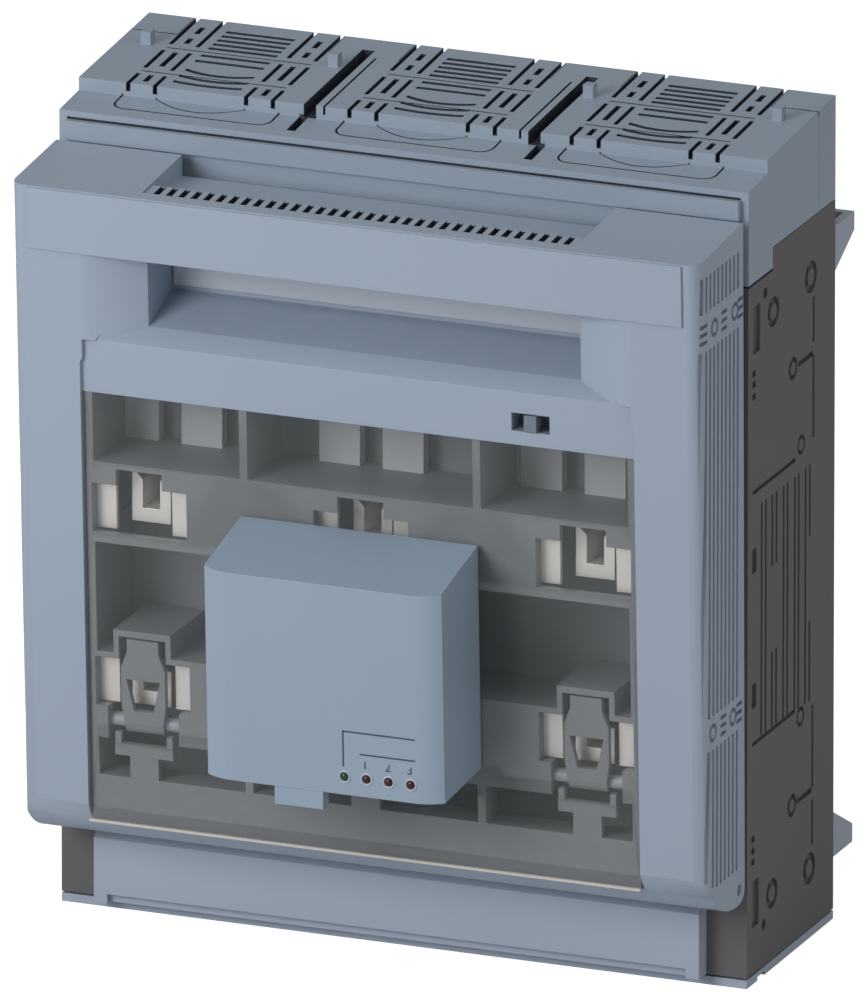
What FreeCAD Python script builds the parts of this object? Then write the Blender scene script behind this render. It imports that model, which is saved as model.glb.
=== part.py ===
import FreeCAD, Part
import math
import os

V = FreeCAD.Vector

# Three-pole fuse switch disconnector with a fuse monitor. Millimetres, X to the right, Z up, the front faces -Y.
# Y is counted from the front plane of the chassis while the pieces are made, and moved to the middle at export.

# Overall
WIDTH = 256.0
HEIGHT = 300.0
POLE_PITCH = 82.5
POLES = [-POLE_PITCH, 0.0, POLE_PITCH]
GAP = 0.3
WALL = 3.0

# Base: chassis, rear frame and tray
CHASSIS_DEPTH = 67.0
REAR_FRAME_DEPTH = 15.0
TRAY_HEIGHT = 3.0
CHASSIS_BOTTOM = 3.7
CHASSIS_TOP = 254.0
REAR_TOP = 262.5
BAY_WIDTH = 70.0
BAY_DEPTH = 52.0
BAY_BOTTOM = 60.0
BAY_TOP = 192.0
TERMINAL_ROOM_DEPTH = 45.0
TERMINAL_ROOM_HEIGHT = 34.0
SIDE_MIRROR_Z = 133.3
GROOVE_DEPTH = 1.4

# Rear standoff feet
FOOT_REACH = 18.2
FOOT_WIDTH = 34.0
FOOT_ROOT_HEIGHT = 16.4
FOOT_TIP_HEIGHT = 6.7
FOOT_TOP = 252.7
FOOT_BOTTOM = 22.6
FOOT_HOLE_R = 2.75
FOOT_HOLE_IN = 11.0

# Top terminal cover
COVER_LOW = 255.0
COVER_STEP_Y = 17.7
COVER_STEP_LOW = 290.6
COVER_STEP_HIGH = 295.3
COVER_FRONT_TOP = 288.8
STRIP_START = 66.0
RIM_WIDTH = 250.0
RIM_PROUD = 2.3
RIM_LOW = 278.8
RIM_HIGH = 285.8
DECK_CHANNEL = 7.6
DECK_CHANNEL_X = 40.2
LOUVRE_HALF = 27.0
LOUVRE_PANEL_HALF = 17.0
LOUVRE_LENGTH = 24.4
LOUVRE_SLOT = 1.6
LOUVRE_PITCH = 3.6

# Bottom terminal cover
BOTTOM_COVER_WIDTH = 226.0
BOTTOM_COVER_PROUD = 7.1
BOTTOM_COVER_TOP = 30.4
BOTTOM_COVER_BACK = 5.0
BOTTOM_COVER_CHAMFER = 3.0

# Fuse carrier: a front plane that leans back towards the bottom, hinged low down
CARRIER_WIDTH = 255.0
CARRIER_TOP_Z = 275.8
CARRIER_TOP_REAR_Z = 279.1
CARRIER_FRONT_TOP_Y = -46.1
LEAN = 0.0425
CARRIER_REAR_Y = -4.0
HINGE_Y = -6.0
HINGE_Z = 38.0
BARREL_R = 5.2
HINGE_PIN_R = 2.2
HINGE_CLEARANCE = 0.05
EAR_WIDTH = 8.0
CARRIER_CURVE_Z = 50.0
OPENING_ANGLE = 50.0
SHELL = 3.0
COLUMN_EDGE_R = 5.0
WINDOW_WIDTH = 205.4
WINDOW_LOW = 43.8
WINDOW_HIGH = 202.0
LOWER_BAR_TOP = 221.4
GRIP_HALF = 80.2
GRIP_TOP = 253.0
GRIP_REAR_Y = -13.0
TOP_BAR_WIDTH = 242.6
TROUGH_HALF = 80.5
TROUGH_FRONT_IN = 5.5
TROUGH_DEPTH = 7.8
COMB_PITCH = 4.6
COMB_COUNT = 34
COMB_SLOT = 2.3
COMB_LENGTH = 8.6
GRILLE_PITCH = 3.7
GRILLE_COUNT = 10
GRILLE_GROOVE = 1.7
GRILLE_LOW = 46.0
GRILLE_HIGH = 270.0
BAND_LOW = (97.0, 109.0)
BAND_HIGH = (243.0, 257.0)

# Window and inner frame
WINDOW_THICKNESS = 1.5
FRAME_THICKNESS = 2.6
FRAME_REAR_Y = -6.0
FRAME_HALF = 102.2
PARTITION = 2.9
POCKET_EDGE_X = 43.3
UPPER_PLATE_LOW = 146.8
POCKET_LOW = 176.5
LOWER_PLATE_HIGH = 106.6
FOOT_POCKET_LOW = 61.0
FOOT_POCKET_HIGH = 74.8
JAW_OPENING = 35.2
JAW_OPENING_HEIGHT = 18.0
UPPER_OPENING_LOW = 150.4
LOWER_OPENING_LOW = 86.5
NOTCH_WIDTH = 17.1
NOTCH_TOP = 174.3
HOOD_WIDTH = 21.4
HOOD_TOP = 115.2
TAB_WIDTH = 15.1
TAB_LOW = 186.0
TAB_OFFSETS = (-12.0, 12.2)

# Contacts
JAW_SLOT = 6.4
JAW_ARM = 4.05
JAW_FRONT_Y = -27.8
JAW_BACK_Y = 20.0
JAW_PLATE = 4.0
UPPER_JAW_LOW = 152.6
UPPER_JAW_TIP = 170.4
LOWER_JAW_LOW = 86.0
LOWER_JAW_TIP = 99.0
JAW_LEAD_IN = 2.6
SIDE_CONTACT_WIDTH = 7.2
SIDE_CONTACT_THICKNESS = 2.0
SIDE_CONTACT_IN = 4.6
BAR_WIDTH = 30.0
BAR_THICKNESS = 6.0
BOLT_R = 5.0
CLIP_THICKNESS = 1.2

# Fuse latch and its shaft
SHAFT_R = 2.5
SHAFT_Z = 80.8
SHAFT_LENGTH = 29.4
SHAFT_SEAT = 1.5
SHAFT_IN = 7.0
LATCH_TOP = 113.0
LATCH_NECK = 11.7
LATCH_WIDE = 16.4
LATCH_THICKNESS = 2.4
LATCH_BARREL_R = 4.0

# Lock slide in the lower bar
SLOT_X = 64.0
SLOT_Z = 210.4
SLOT_WIDTH = 14.1
SLOT_HEIGHT = 6.6
KNOB_WIDTH = 4.6
KNOB_PROUD = 0.6

# Fuse monitor
MONITOR_WIDTH = 88.0
MONITOR_DEPTH = 33.3
MONITOR_FRONT_TOP = 155.3
MONITOR_FRONT_LOW = 79.0
MONITOR_REAR_TOP = 163.5
MONITOR_REAR_LOW = 81.7
MONITOR_EDGE_R = 8.0
MONITOR_WALL = 2.5
MONITOR_TAB_X = (-18.0, 0.0)
MONITOR_TAB_DROP = 6.5
MONITOR_TAB_DEPTH = 5.3
LAMP_R = 1.6
LAMP_Z = 84.1
LAMP_FIRST_X = 6.3
LAMP_PITCH = 8.3
LAMP_COUNT = 4
BOARD_THICKNESS = 1.6

HALF = WIDTH / 2
BASE_DEPTH = CHASSIS_DEPTH + REAR_FRAME_DEPTH


def box(x0, x1, y0, y1, z0, z1):
    return Part.makeBox(x1 - x0, y1 - y0, z1 - z0, V(x0, y0, z0))


def cylinder(point, axis, radius, length):
    return Part.makeCylinder(radius, length, V(*point), V(*axis))


def centred_x(y, z, radius, centre, length):
    return cylinder((centre - length / 2, y, z), (1, 0, 0), radius, length)


def prism_x(points, x0, x1):
    """A closed outline of (y, z) points, drawn out along X."""
    loop = [V(x0, y, z) for y, z in points]
    face = Part.Face(Part.makePolygon(loop + loop[:1]))
    return face.extrude(V(x1 - x0, 0, 0))


def prism_y(points, y0, y1):
    """A closed outline of (x, z) points, drawn out along Y."""
    loop = [V(x, y0, z) for x, z in points]
    face = Part.Face(Part.makePolygon(loop + loop[:1]))
    return face.extrude(V(0, y1 - y0, 0))


def mirrored(shape):
    return shape.mirror(V(0, 0, 0), V(1, 0, 0))


def mirrored_z(shape, height):
    return shape.mirror(V(0, 0, height), V(0, 0, 1))


def union(shapes):
    return shapes[0].multiFuse(shapes[1:]).removeSplitter()


def cut(shape, tools):
    return shape.cut(Part.makeCompound(tools))


def group(shapes):
    return Part.makeCompound(shapes)


def front_y(z):
    """Front plane of the carrier at a height."""
    return CARRIER_FRONT_TOP_Y + LEAN * (CARRIER_TOP_Z - z)


def leaning_slab(depth_in, thickness, x0, x1, z0, z1):
    """A slab that follows the leaning front plane, a stated depth behind it."""
    near = [(front_y(z0) + depth_in, z0), (front_y(z1) + depth_in, z1)]
    far = [(near[1][0] + thickness, z1), (near[0][0] + thickness, z0)]
    return prism_x(near + far, x0, x1)


def slot_groove(x, y, z0, z1, width):
    """A groove cutter in the right-hand side wall."""
    return box(x - GROOVE_DEPTH, x + 1, y - width / 2, y + width / 2, z0, z1)


def ring_groove(x, y, z, outer, inner):
    tube = cylinder((x - GROOVE_DEPTH, y, z), (1, 0, 0), outer, GROOVE_DEPTH + 1)
    core = cylinder((x - GROOVE_DEPTH, y, z), (1, 0, 0), inner, GROOVE_DEPTH + 1)
    return tube.cut(core)


def side_relief(x):
    """Cutters of the relief on the right-hand wall: rings, grooves and vent slots."""
    rings = [(59, 241, 5.7, 3.1), (23.6, 239, 5.4, 3.0), (42.3, 212.8, 4.1, 2.3), (50.2, 182.8, 3.6, 2.2)]
    upper = [ring_groove(x, y, z, outer, inner) for y, z, outer, inner in rings]
    upper.append(cylinder((x - GROOVE_DEPTH, 15.9, 248), (1, 0, 0), 2.0, GROOVE_DEPTH + 1))
    upper.append(slot_groove(x, 61.7, 216.6, 233.0, 1.8))
    upper.append(slot_groove(x, 61.7, 182.0, 212.0, 1.8))
    upper.append(box(x - GROOVE_DEPTH, x + 1, 47.0, 61.0, 211.8, 213.8))
    upper.append(box(x - GROOVE_DEPTH, x + 1, 4.5, 45.0, 178.2, 179.8))
    upper.append(box(x - GROOVE_DEPTH, x + 1, 4.5, 11.0, 229.0, 246.0))
    for z in (222.0, 218.0, 213.6):
        upper.append(box(x - GROOVE_DEPTH, x + 1, 4.0, 7.0, z - 1.2, z + 1.2))
    lower = [mirrored_z(tool, SIDE_MIRROR_Z) for tool in upper]
    vents = []
    for first, second in ((13, 17), (33.7, 37.5), (44.4, 48.1)):
        vents += [slot_groove(x, first, 87, 173, 1.7), slot_groove(x, second, 87, 173, 1.7)]
    for y in (23.0, 27.0, 58.5):
        vents += [slot_groove(x, y, 87, 116, 1.7), slot_groove(x, y, 147, 173, 1.7)]
    vents.append(slot_groove(x, 54.5, 87, 173, 1.7))
    for z in (105.0, 154.0):
        vents.append(slot_groove(x, 6.1, z - 4.4, z + 4.4, 4.3))
    return upper + lower + vents


def chassis():
    body = box(-HALF, HALF, 0, CHASSIS_DEPTH, CHASSIS_BOTTOM, CHASSIS_TOP)
    rear_top = box(-HALF, HALF, COVER_STEP_Y + 5, CHASSIS_DEPTH, CHASSIS_TOP, REAR_TOP - GAP)
    body = union([body, rear_top])
    tools = []
    for x in POLES:
        tools.append(box(x - BAY_WIDTH / 2, x + BAY_WIDTH / 2, -1, BAY_DEPTH, BAY_BOTTOM, BAY_TOP))
        room = (x - BAY_WIDTH / 2, x + BAY_WIDTH / 2, CHASSIS_DEPTH - TERMINAL_ROOM_DEPTH, CHASSIS_DEPTH - WALL)
        tools.append(box(*room, REAR_TOP - TERMINAL_ROOM_HEIGHT, REAR_TOP + 1))
        tools.append(box(*room, CHASSIS_BOTTOM - 1, CHASSIS_BOTTOM + TERMINAL_ROOM_HEIGHT))
        bar = (x - BAR_WIDTH / 2 - GAP, x + BAR_WIDTH / 2 + GAP)
        bar_y = (JAW_BACK_Y - GAP + JAW_PLATE, JAW_BACK_Y + JAW_PLATE + BAR_THICKNESS + GAP)
        tools.append(box(*bar, *bar_y, BAY_TOP - 1, REAR_TOP))
        tools.append(box(*bar, *bar_y, CHASSIS_BOTTOM + WALL, BAY_BOTTOM + 1))
    side = side_relief(HALF)
    tools += side + [mirrored(tool) for tool in side]
    body = cut(body, tools)
    ears = []
    for centre in (-ear_x(), ear_x()):
        ears.append(centred_x(HINGE_Y, HINGE_Z, BARREL_R - 1.0, centre, EAR_WIDTH))
        ears.append(box(centre - EAR_WIDTH / 2, centre + EAR_WIDTH / 2, HINGE_Y, 0, HINGE_Z - 2.8, HINGE_Z + 2.8))
    body = union([body] + ears)
    bores = [centred_x(HINGE_Y, HINGE_Z, HINGE_PIN_R + HINGE_CLEARANCE, x, EAR_WIDTH + 2) for x in (-ear_x(), ear_x())]
    return cut(body, bores)


def ear_x():
    return (WINDOW_WIDTH / 2 + CARRIER_WIDTH / 2) / 2


def rear_frame():
    y0, y1 = CHASSIS_DEPTH, BASE_DEPTH
    body = box(-HALF, HALF, y0, y1, CHASSIS_BOTTOM, REAR_TOP - GAP)
    tools = []
    for x in POLES:
        half = BAY_WIDTH / 2
        tools.append(box(x - half, x + half, y0 + WALL, y1 + 1, BAY_BOTTOM, SIDE_MIRROR_Z - 5))
        tools.append(box(x - half, x + half, y0 + WALL, y1 + 1, SIDE_MIRROR_Z + 5, BAY_TOP))
    return cut(body, tools)


def foot(side, upper):
    """One rear standoff: a hollow wedge with a fixing hole, open towards the middle height."""
    y0, y1 = BASE_DEPTH, BASE_DEPTH + FOOT_REACH
    if upper:
        flat, root, tip = FOOT_TOP, FOOT_TOP - FOOT_ROOT_HEIGHT, FOOT_TOP - FOOT_TIP_HEIGHT
    else:
        flat, root, tip = FOOT_BOTTOM, FOOT_BOTTOM + FOOT_ROOT_HEIGHT, FOOT_BOTTOM + FOOT_TIP_HEIGHT
    x1 = side * HALF
    x0 = side * (HALF - FOOT_WIDTH)
    low, high = min(x0, x1), max(x0, x1)
    body = prism_x([(y0, flat), (y1, flat), (y1, tip), (y0, root)], low, high)
    sign = 1 if upper else -1
    inner = [(y0 - 1, flat + sign), (y1 - WALL, flat + sign), (y1 - WALL, tip + sign * 2.0), (y0 - 1, root + sign * 2.0)]
    hollow = prism_x(inner, low + WALL, high - WALL)
    hollow = hollow.cut(box(low, high, y0 - 1, y0 + WALL, flat - 30, flat + 30))
    hole_x = side * (HALF - FOOT_HOLE_IN)
    hole = cylinder((hole_x, y0 - 1, (flat + tip) / 2), (0, 1, 0), FOOT_HOLE_R, FOOT_REACH + 2)
    return body.cut(hollow).cut(hole)


def cover_profile(inset):
    """Outline of the top cover; an inset of zero is the outside."""
    slope = (HEIGHT - COVER_STEP_HIGH) / (BASE_DEPTH - COVER_STEP_Y)
    rear_z = COVER_STEP_HIGH + slope * (STRIP_START - COVER_STEP_Y)
    if inset:
        return [
            (inset, COVER_LOW - 5),
            (inset, COVER_FRONT_TOP - inset),
            (COVER_STEP_Y + inset, COVER_STEP_LOW - inset),
            (COVER_STEP_Y + inset, COVER_STEP_HIGH - inset - 4.0),
            (STRIP_START - inset, rear_z - inset - 4.0),
            (STRIP_START - inset, COVER_LOW - 5),
        ]
    return [
        (0, COVER_LOW),
        (0, COVER_FRONT_TOP),
        (COVER_STEP_Y, COVER_STEP_LOW),
        (COVER_STEP_Y, COVER_STEP_HIGH),
        (STRIP_START, rear_z),
        (STRIP_START, REAR_TOP),
        (COVER_STEP_Y + 5, REAR_TOP),
        (COVER_STEP_Y + 5, COVER_LOW),
    ]


def arc_slot(x, y, radius, half_angle, z0, z1):
    """A curved slot, bowed towards the front."""
    outer = Part.makeCylinder(radius + LOUVRE_SLOT / 2, z1 - z0, V(x, y, z0), V(0, 0, 1), 2 * half_angle)
    inner = Part.makeCylinder(radius - LOUVRE_SLOT / 2, z1 - z0, V(x, y, z0), V(0, 0, 1), 2 * half_angle)
    ring = outer.cut(inner)
    ring.rotate(V(x, y, z0), V(0, 0, 1), 270 - half_angle)
    return ring


def louvre_tools(x):
    """Cutters of the vent slots of one pole."""
    z0, z1 = COVER_STEP_LOW - 12, HEIGHT + 1
    half = LOUVRE_LENGTH / 2
    tools = []
    rear = STRIP_START - 6.0
    rows = [rear - i * LOUVRE_PITCH for i in range(5)]
    rows += [rows[-1] - (i + 2) * LOUVRE_PITCH for i in range(2)]
    for y in rows:
        tools.append(box(x - half, x + half, y - LOUVRE_SLOT / 2, y + LOUVRE_SLOT / 2, z0, z1))
    short = (LOUVRE_HALF - LOUVRE_PANEL_HALF) / 2 - 1.0
    for y in rows[:2] + rows[3:5] + rows[5:6]:
        for side in (-1, 1):
            centre = x + side * (LOUVRE_HALF + LOUVRE_PANEL_HALF) / 2
            tools.append(box(centre - short, centre + short, y - LOUVRE_SLOT / 2, y + LOUVRE_SLOT / 2, z0, z1))
    for radius in (10.5, 14.0):
        tools.append(arc_slot(x, rows[-1] - 0.5, radius, 52, z0, z1))
    for offset in (-LOUVRE_HALF, -LOUVRE_PANEL_HALF, LOUVRE_PANEL_HALF, LOUVRE_HALF):
        groove = [(COVER_STEP_Y - 1, COVER_STEP_HIGH - 2.2), (STRIP_START - 2, HEIGHT - 3.4)]
        groove += [(STRIP_START - 2, HEIGHT + 2), (COVER_STEP_Y - 1, HEIGHT + 2)]
        tools.append(prism_x(groove, x + offset - 0.8, x + offset + 0.8))
    return tools


def top_cover():
    body = prism_x(cover_profile(0), -HALF, HALF)
    rim = box(-RIM_WIDTH / 2, RIM_WIDTH / 2, -RIM_PROUD, 1, RIM_LOW, RIM_HIGH)
    body = union([body, rim])
    tools = []
    for x in POLES:
        half = BAY_WIDTH / 2 + 1
        tools.append(prism_x(cover_profile(WALL), x - half, x + half))
        tools += louvre_tools(x)
    for side in (-1, 1):
        centre = side * (DECK_CHANNEL_X + DECK_CHANNEL / 2 - 2.8)
        channel = (centre - DECK_CHANNEL / 2, centre + DECK_CHANNEL / 2)
        tools.append(box(*channel, COVER_STEP_Y, STRIP_START - 8, COVER_STEP_LOW + 1, HEIGHT + 1))
        tools.append(box(centre - 6, centre + 6, 9, 12, COVER_STEP_LOW - 4, HEIGHT))
    body = cut(body, tools)
    pegs = []
    for x in POLES:
        for side in (-1, 1):
            centre = x + side * (LOUVRE_HALF + 4.5)
            pegs.append(box(centre - 2, centre + 2, 54, 58, HEIGHT - 4, HEIGHT + 2.6))
    return union([body] + pegs)


def top_strip():
    slope = (HEIGHT - COVER_STEP_HIGH) / (BASE_DEPTH - COVER_STEP_Y)
    front_z = HEIGHT - slope * (BASE_DEPTH - STRIP_START)
    outline = [(STRIP_START, REAR_TOP), (STRIP_START, front_z), (BASE_DEPTH, HEIGHT), (BASE_DEPTH, REAR_TOP)]
    body = prism_x(outline, -HALF, HALF)
    inner = [(STRIP_START + WALL, REAR_TOP - 1), (STRIP_START + WALL, front_z - WALL - 2)]
    inner += [(BASE_DEPTH - WALL, HEIGHT - WALL - 2), (BASE_DEPTH - WALL, REAR_TOP - 1)]
    return cut(body, [prism_x(inner, x - BAY_WIDTH / 2, x + BAY_WIDTH / 2) for x in POLES])


def bottom_cover():
    top, front, edge = BOTTOM_COVER_TOP, -BOTTOM_COVER_PROUD, BOTTOM_COVER_CHAMFER
    outline = [(0, CHASSIS_BOTTOM), (0, top), (front + edge, top), (front, top - edge)]
    outline += [(front, 7.1), (front + 2.6, 7.1), (front + 2.6, CHASSIS_BOTTOM)]
    body = prism_x(outline, -BOTTOM_COVER_WIDTH / 2, BOTTOM_COVER_WIDTH / 2)
    ends = []
    for side in (-1, 1):
        x0, x1 = sorted((side * (BOTTOM_COVER_WIDTH / 2 - 5), side * BOTTOM_COVER_WIDTH / 2))
        ends.append(box(x0, x1, front, front + 3, CHASSIS_BOTTOM, 8))
    body = union([body] + ends)
    inner = box(-BOTTOM_COVER_WIDTH / 2 + WALL, BOTTOM_COVER_WIDTH / 2 - WALL, front + WALL + 2, 1, 9, top - WALL)
    return body.cut(inner)


def tray():
    body = box(-HALF, HALF, 0, BASE_DEPTH, 0, TRAY_HEIGHT)
    posts = box(-HALF + 6, HALF - 6, 4, 10, TRAY_HEIGHT, CHASSIS_BOTTOM)
    rear = box(-HALF + 6, HALF - 6, BASE_DEPTH - 12, BASE_DEPTH - 4, TRAY_HEIGHT, CHASSIS_BOTTOM)
    body = union([body, posts, rear])
    return cut(body, [box(side - 3, side + 3, 10, 17, -1, 1.4) for side in (-HALF, HALF)])


def contact_cover():
    """Grey wall across the bays, with passages for the jaws."""
    body = box(-FRAME_HALF, FRAME_HALF, -WALL, 0, BAY_BOTTOM - 6, BAY_TOP + 6)
    tools = []
    for x in POLES:
        half = JAW_OPENING / 2
        tools.append(box(x - half, x + half, -WALL - 1, 1, LOWER_JAW_LOW - 3, LOWER_JAW_TIP + 3))
        tools.append(box(x - half, x + half, -WALL - 1, 1, UPPER_JAW_LOW - 3, UPPER_JAW_TIP + 3))
    return cut(body, tools)


def jaw(x, low, tip):
    """A contact jaw: two arms with lead-in tips on a back plate, open to the front and at the top."""
    half = JAW_SLOT / 2 + JAW_ARM
    body = box(x - half, x + half, JAW_FRONT_Y, JAW_BACK_Y, low, tip)
    slot = box(x - JAW_SLOT / 2, x + JAW_SLOT / 2, JAW_FRONT_Y - 1, JAW_BACK_Y - 6, low + 5, tip + 1)
    body = body.cut(slot)
    plate = box(x - BAR_WIDTH / 2, x + BAR_WIDTH / 2, JAW_BACK_Y, JAW_BACK_Y + JAW_PLATE, low - 4, tip + 4)
    for side in (-1, 1):
        inner, outer = x + side * JAW_SLOT / 2, x + side * (JAW_SLOT / 2 + JAW_LEAD_IN)
        wedge = prism_y([(inner, tip - JAW_LEAD_IN), (outer, tip), (inner, tip)], JAW_FRONT_Y, JAW_BACK_Y - 6)
        body = body.cut(wedge)
    return union([body, plate])


def jaw_clips(low, tip):
    """Leaf springs that squeeze the arms of the jaws."""
    clips = []
    inner = JAW_SLOT / 2 + JAW_ARM
    for x in POLES:
        z0, z1 = low + 3, tip - 5
        outline = [(-inner - CLIP_THICKNESS, 2), (-inner, 2), (-inner, 16), (-inner - 3, 19.7), (-inner - 6, 19.7)]
        outline += [(-inner - 6, 18.4), (-inner - CLIP_THICKNESS - 2.4, 18.4), (-inner - CLIP_THICKNESS, 15.6)]
        for side in (-1, 1):
            loop = [V(x - side * px, py, z0) for px, py in outline]
            clips.append(Part.Face(Part.makePolygon(loop + loop[:1])).extrude(V(0, 0, z1 - z0)))
    return group(clips)


def terminal_bar(x, upper):
    """Bar from the back of a jaw to the cable terminal."""
    y0 = JAW_BACK_Y + JAW_PLATE
    if upper:
        z0, z1 = UPPER_JAW_LOW - 4, REAR_TOP - 6
        hole_z = REAR_TOP - TERMINAL_ROOM_HEIGHT / 2
    else:
        z0, z1 = CHASSIS_BOTTOM + WALL + 2, LOWER_JAW_TIP + 4
        hole_z = CHASSIS_BOTTOM + TERMINAL_ROOM_HEIGHT / 2
    bar = box(x - BAR_WIDTH / 2, x + BAR_WIDTH / 2, y0, y0 + BAR_THICKNESS, z0, z1)
    return bar.cut(cylinder((x, y0 - 1, hole_z), (0, 1, 0), BOLT_R + GAP, BAR_THICKNESS + 2))


def hexagon(x, y, z, across, depth):
    radius = across / math.sqrt(3)
    angles = [math.radians(60 * i) for i in range(6)]
    points = [(x + radius * math.cos(a), z + radius * math.sin(a)) for a in angles]
    return prism_y(points, y, y + depth)


def terminal_spots():
    upper = REAR_TOP - TERMINAL_ROOM_HEIGHT / 2
    lower = CHASSIS_BOTTOM + TERMINAL_ROOM_HEIGHT / 2
    return [(x, z) for z in (upper, lower) for x in POLES]


def terminal_bolts():
    y0 = JAW_BACK_Y + JAW_PLATE + BAR_THICKNESS + 2.0
    bolts = []
    for x, z in terminal_spots():
        head = hexagon(x, y0, z, 15.0, 6.0)
        shank = cylinder((x, JAW_BACK_Y + JAW_PLATE, z), (0, 1, 0), BOLT_R, y0 - JAW_BACK_Y - JAW_PLATE + 1)
        bolts.append(union([head, shank]))
    return group(bolts)


def terminal_washers():
    y0 = JAW_BACK_Y + JAW_PLATE + BAR_THICKNESS
    rings = []
    for x, z in terminal_spots():
        disc = cylinder((x, y0, z), (0, 1, 0), BOLT_R * 2.1, 2.0)
        rings.append(disc.cut(cylinder((x, y0 - 1, z), (0, 1, 0), BOLT_R + GAP / 2, 4.0)))
    return group(rings)


def arc_plates(x):
    """Stack of splitter plates above the lower jaw, seated on the walls of the bay."""
    plates = []
    for i in range(6):
        z = LOWER_JAW_TIP + 12 + i * 5
        plate = box(x - BAY_WIDTH / 2, x + BAY_WIDTH / 2, 2, 30, z, z + 1.5)
        notch = prism_y([(x - 5, 0), (x + 5, 0), (x + 5, 400), (x - 5, 400)], 1, 14)
        plates.append(plate.cut(notch))
    return group(plates)


def carrier_block(half):
    """Side profile of the carrier drawn out along X: leaning front, round bottom and hinge barrel."""
    low_front = V(-half, front_y(CARRIER_CURVE_Z), CARRIER_CURVE_Z)
    top_front = V(-half, CARRIER_FRONT_TOP_Y, CARRIER_TOP_Z)
    top_rear = V(-half, CARRIER_REAR_Y, CARRIER_TOP_REAR_Z)
    rear_y = HINGE_Y + BARREL_R
    rear_low = V(-half, rear_y, HINGE_Z)
    barrel_mid = V(-half, HINGE_Y + BARREL_R * math.cos(-math.pi / 4), HINGE_Z - BARREL_R * math.sin(math.pi / 4))
    barrel_low = V(-half, HINGE_Y, HINGE_Z - BARREL_R)
    curve_mid = V(-half, -23.5, HINGE_Z - 1.7)
    edges = [
        Part.LineSegment(low_front, top_front).toShape(),
        Part.LineSegment(top_front, top_rear).toShape(),
        Part.LineSegment(top_rear, rear_low).toShape(),
        Part.Arc(rear_low, barrel_mid, barrel_low).toShape(),
        Part.Arc(barrel_low, curve_mid, low_front).toShape(),
    ]
    return Part.Face(Part.Wire(edges)).extrude(V(2 * half, 0, 0))


def rounded_columns(body):
    """Rounds the two long outer front edges."""
    half = CARRIER_WIDTH / 2
    edges = []
    for edge in body.Edges:
        middle = edge.CenterOfMass
        if abs(abs(middle.x) - half) < 0.01 and edge.BoundBox.ZLength > 150 and middle.y < -30:
            edges.append(edge)
    return body.makeFillet(COLUMN_EDGE_R, edges)


def lower_bar_recess():
    """The lower bar lies a little behind the columns, which sweep in above it."""
    half = WINDOW_WIDTH / 2
    low, shoulder, top = WINDOW_HIGH - 1, 213.0, GRIP_TOP - 20
    outline = [V(-half, 0, low), V(-half, 0, shoulder), V(-GRIP_HALF, 0, top)]
    curve = Part.Arc(outline[1], V(-half + 6.5, 0, 222.5), outline[2]).toShape()
    mirror_curve = curve.mirror(V(0, 0, 0), V(1, 0, 0))
    edges = [
        Part.LineSegment(outline[0], outline[1]).toShape(),
        curve,
        Part.LineSegment(outline[2], V(GRIP_HALF, 0, top)).toShape(),
        mirror_curve,
        Part.LineSegment(V(half, 0, shoulder), V(half, 0, low)).toShape(),
        Part.LineSegment(V(half, 0, low), outline[0]).toShape(),
    ]
    wire = Part.Wire(Part.__sortEdges__(edges))
    face = Part.Face(wire)
    face.translate(V(0, -60, 0))
    tool = face.extrude(V(0, 60, 0))
    front = leaning_slab(-30, 30 + 1.6, -half - 1, half + 1, low - 1, GRIP_TOP)
    return tool.common(front)


def grip_tool():
    """Finger gap between the top bar and the lower bar, with its sloping sill."""
    outline = [
        (-60, LOWER_BAR_TOP),
        (front_y(LOWER_BAR_TOP) + 1.6, LOWER_BAR_TOP),
        (-35.5, LOWER_BAR_TOP + 4.9),
        (-25.0, LOWER_BAR_TOP + 8.6),
        (GRIP_REAR_Y, LOWER_BAR_TOP + 12.2),
        (GRIP_REAR_Y, GRIP_TOP),
        (-60, GRIP_TOP),
    ]
    return prism_x(outline, -GRIP_HALF, GRIP_HALF)


def trough_tool():
    front = CARRIER_FRONT_TOP_Y + TROUGH_FRONT_IN
    outline = [
        (front, CARRIER_TOP_REAR_Z + 2),
        (front, CARRIER_TOP_Z - 1.6),
        (front + COMB_LENGTH + 1.5, CARRIER_TOP_Z - 3.4),
        (0, CARRIER_TOP_REAR_Z - TROUGH_DEPTH),
        (0, CARRIER_TOP_REAR_Z + 2),
    ]
    return prism_x(outline, -TROUGH_HALF, TROUGH_HALF)


def comb_tools():
    front = CARRIER_FRONT_TOP_Y + TROUGH_FRONT_IN + 0.6
    first = -COMB_PITCH * (COMB_COUNT - 1) / 2
    tools = []
    for i in range(COMB_COUNT):
        x = first + i * COMB_PITCH
        slot = (x - COMB_SLOT / 2, x + COMB_SLOT / 2, front, front + COMB_LENGTH)
        tools.append(box(*slot, CARRIER_TOP_Z - 12, CARRIER_TOP_Z))
    return tools


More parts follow.
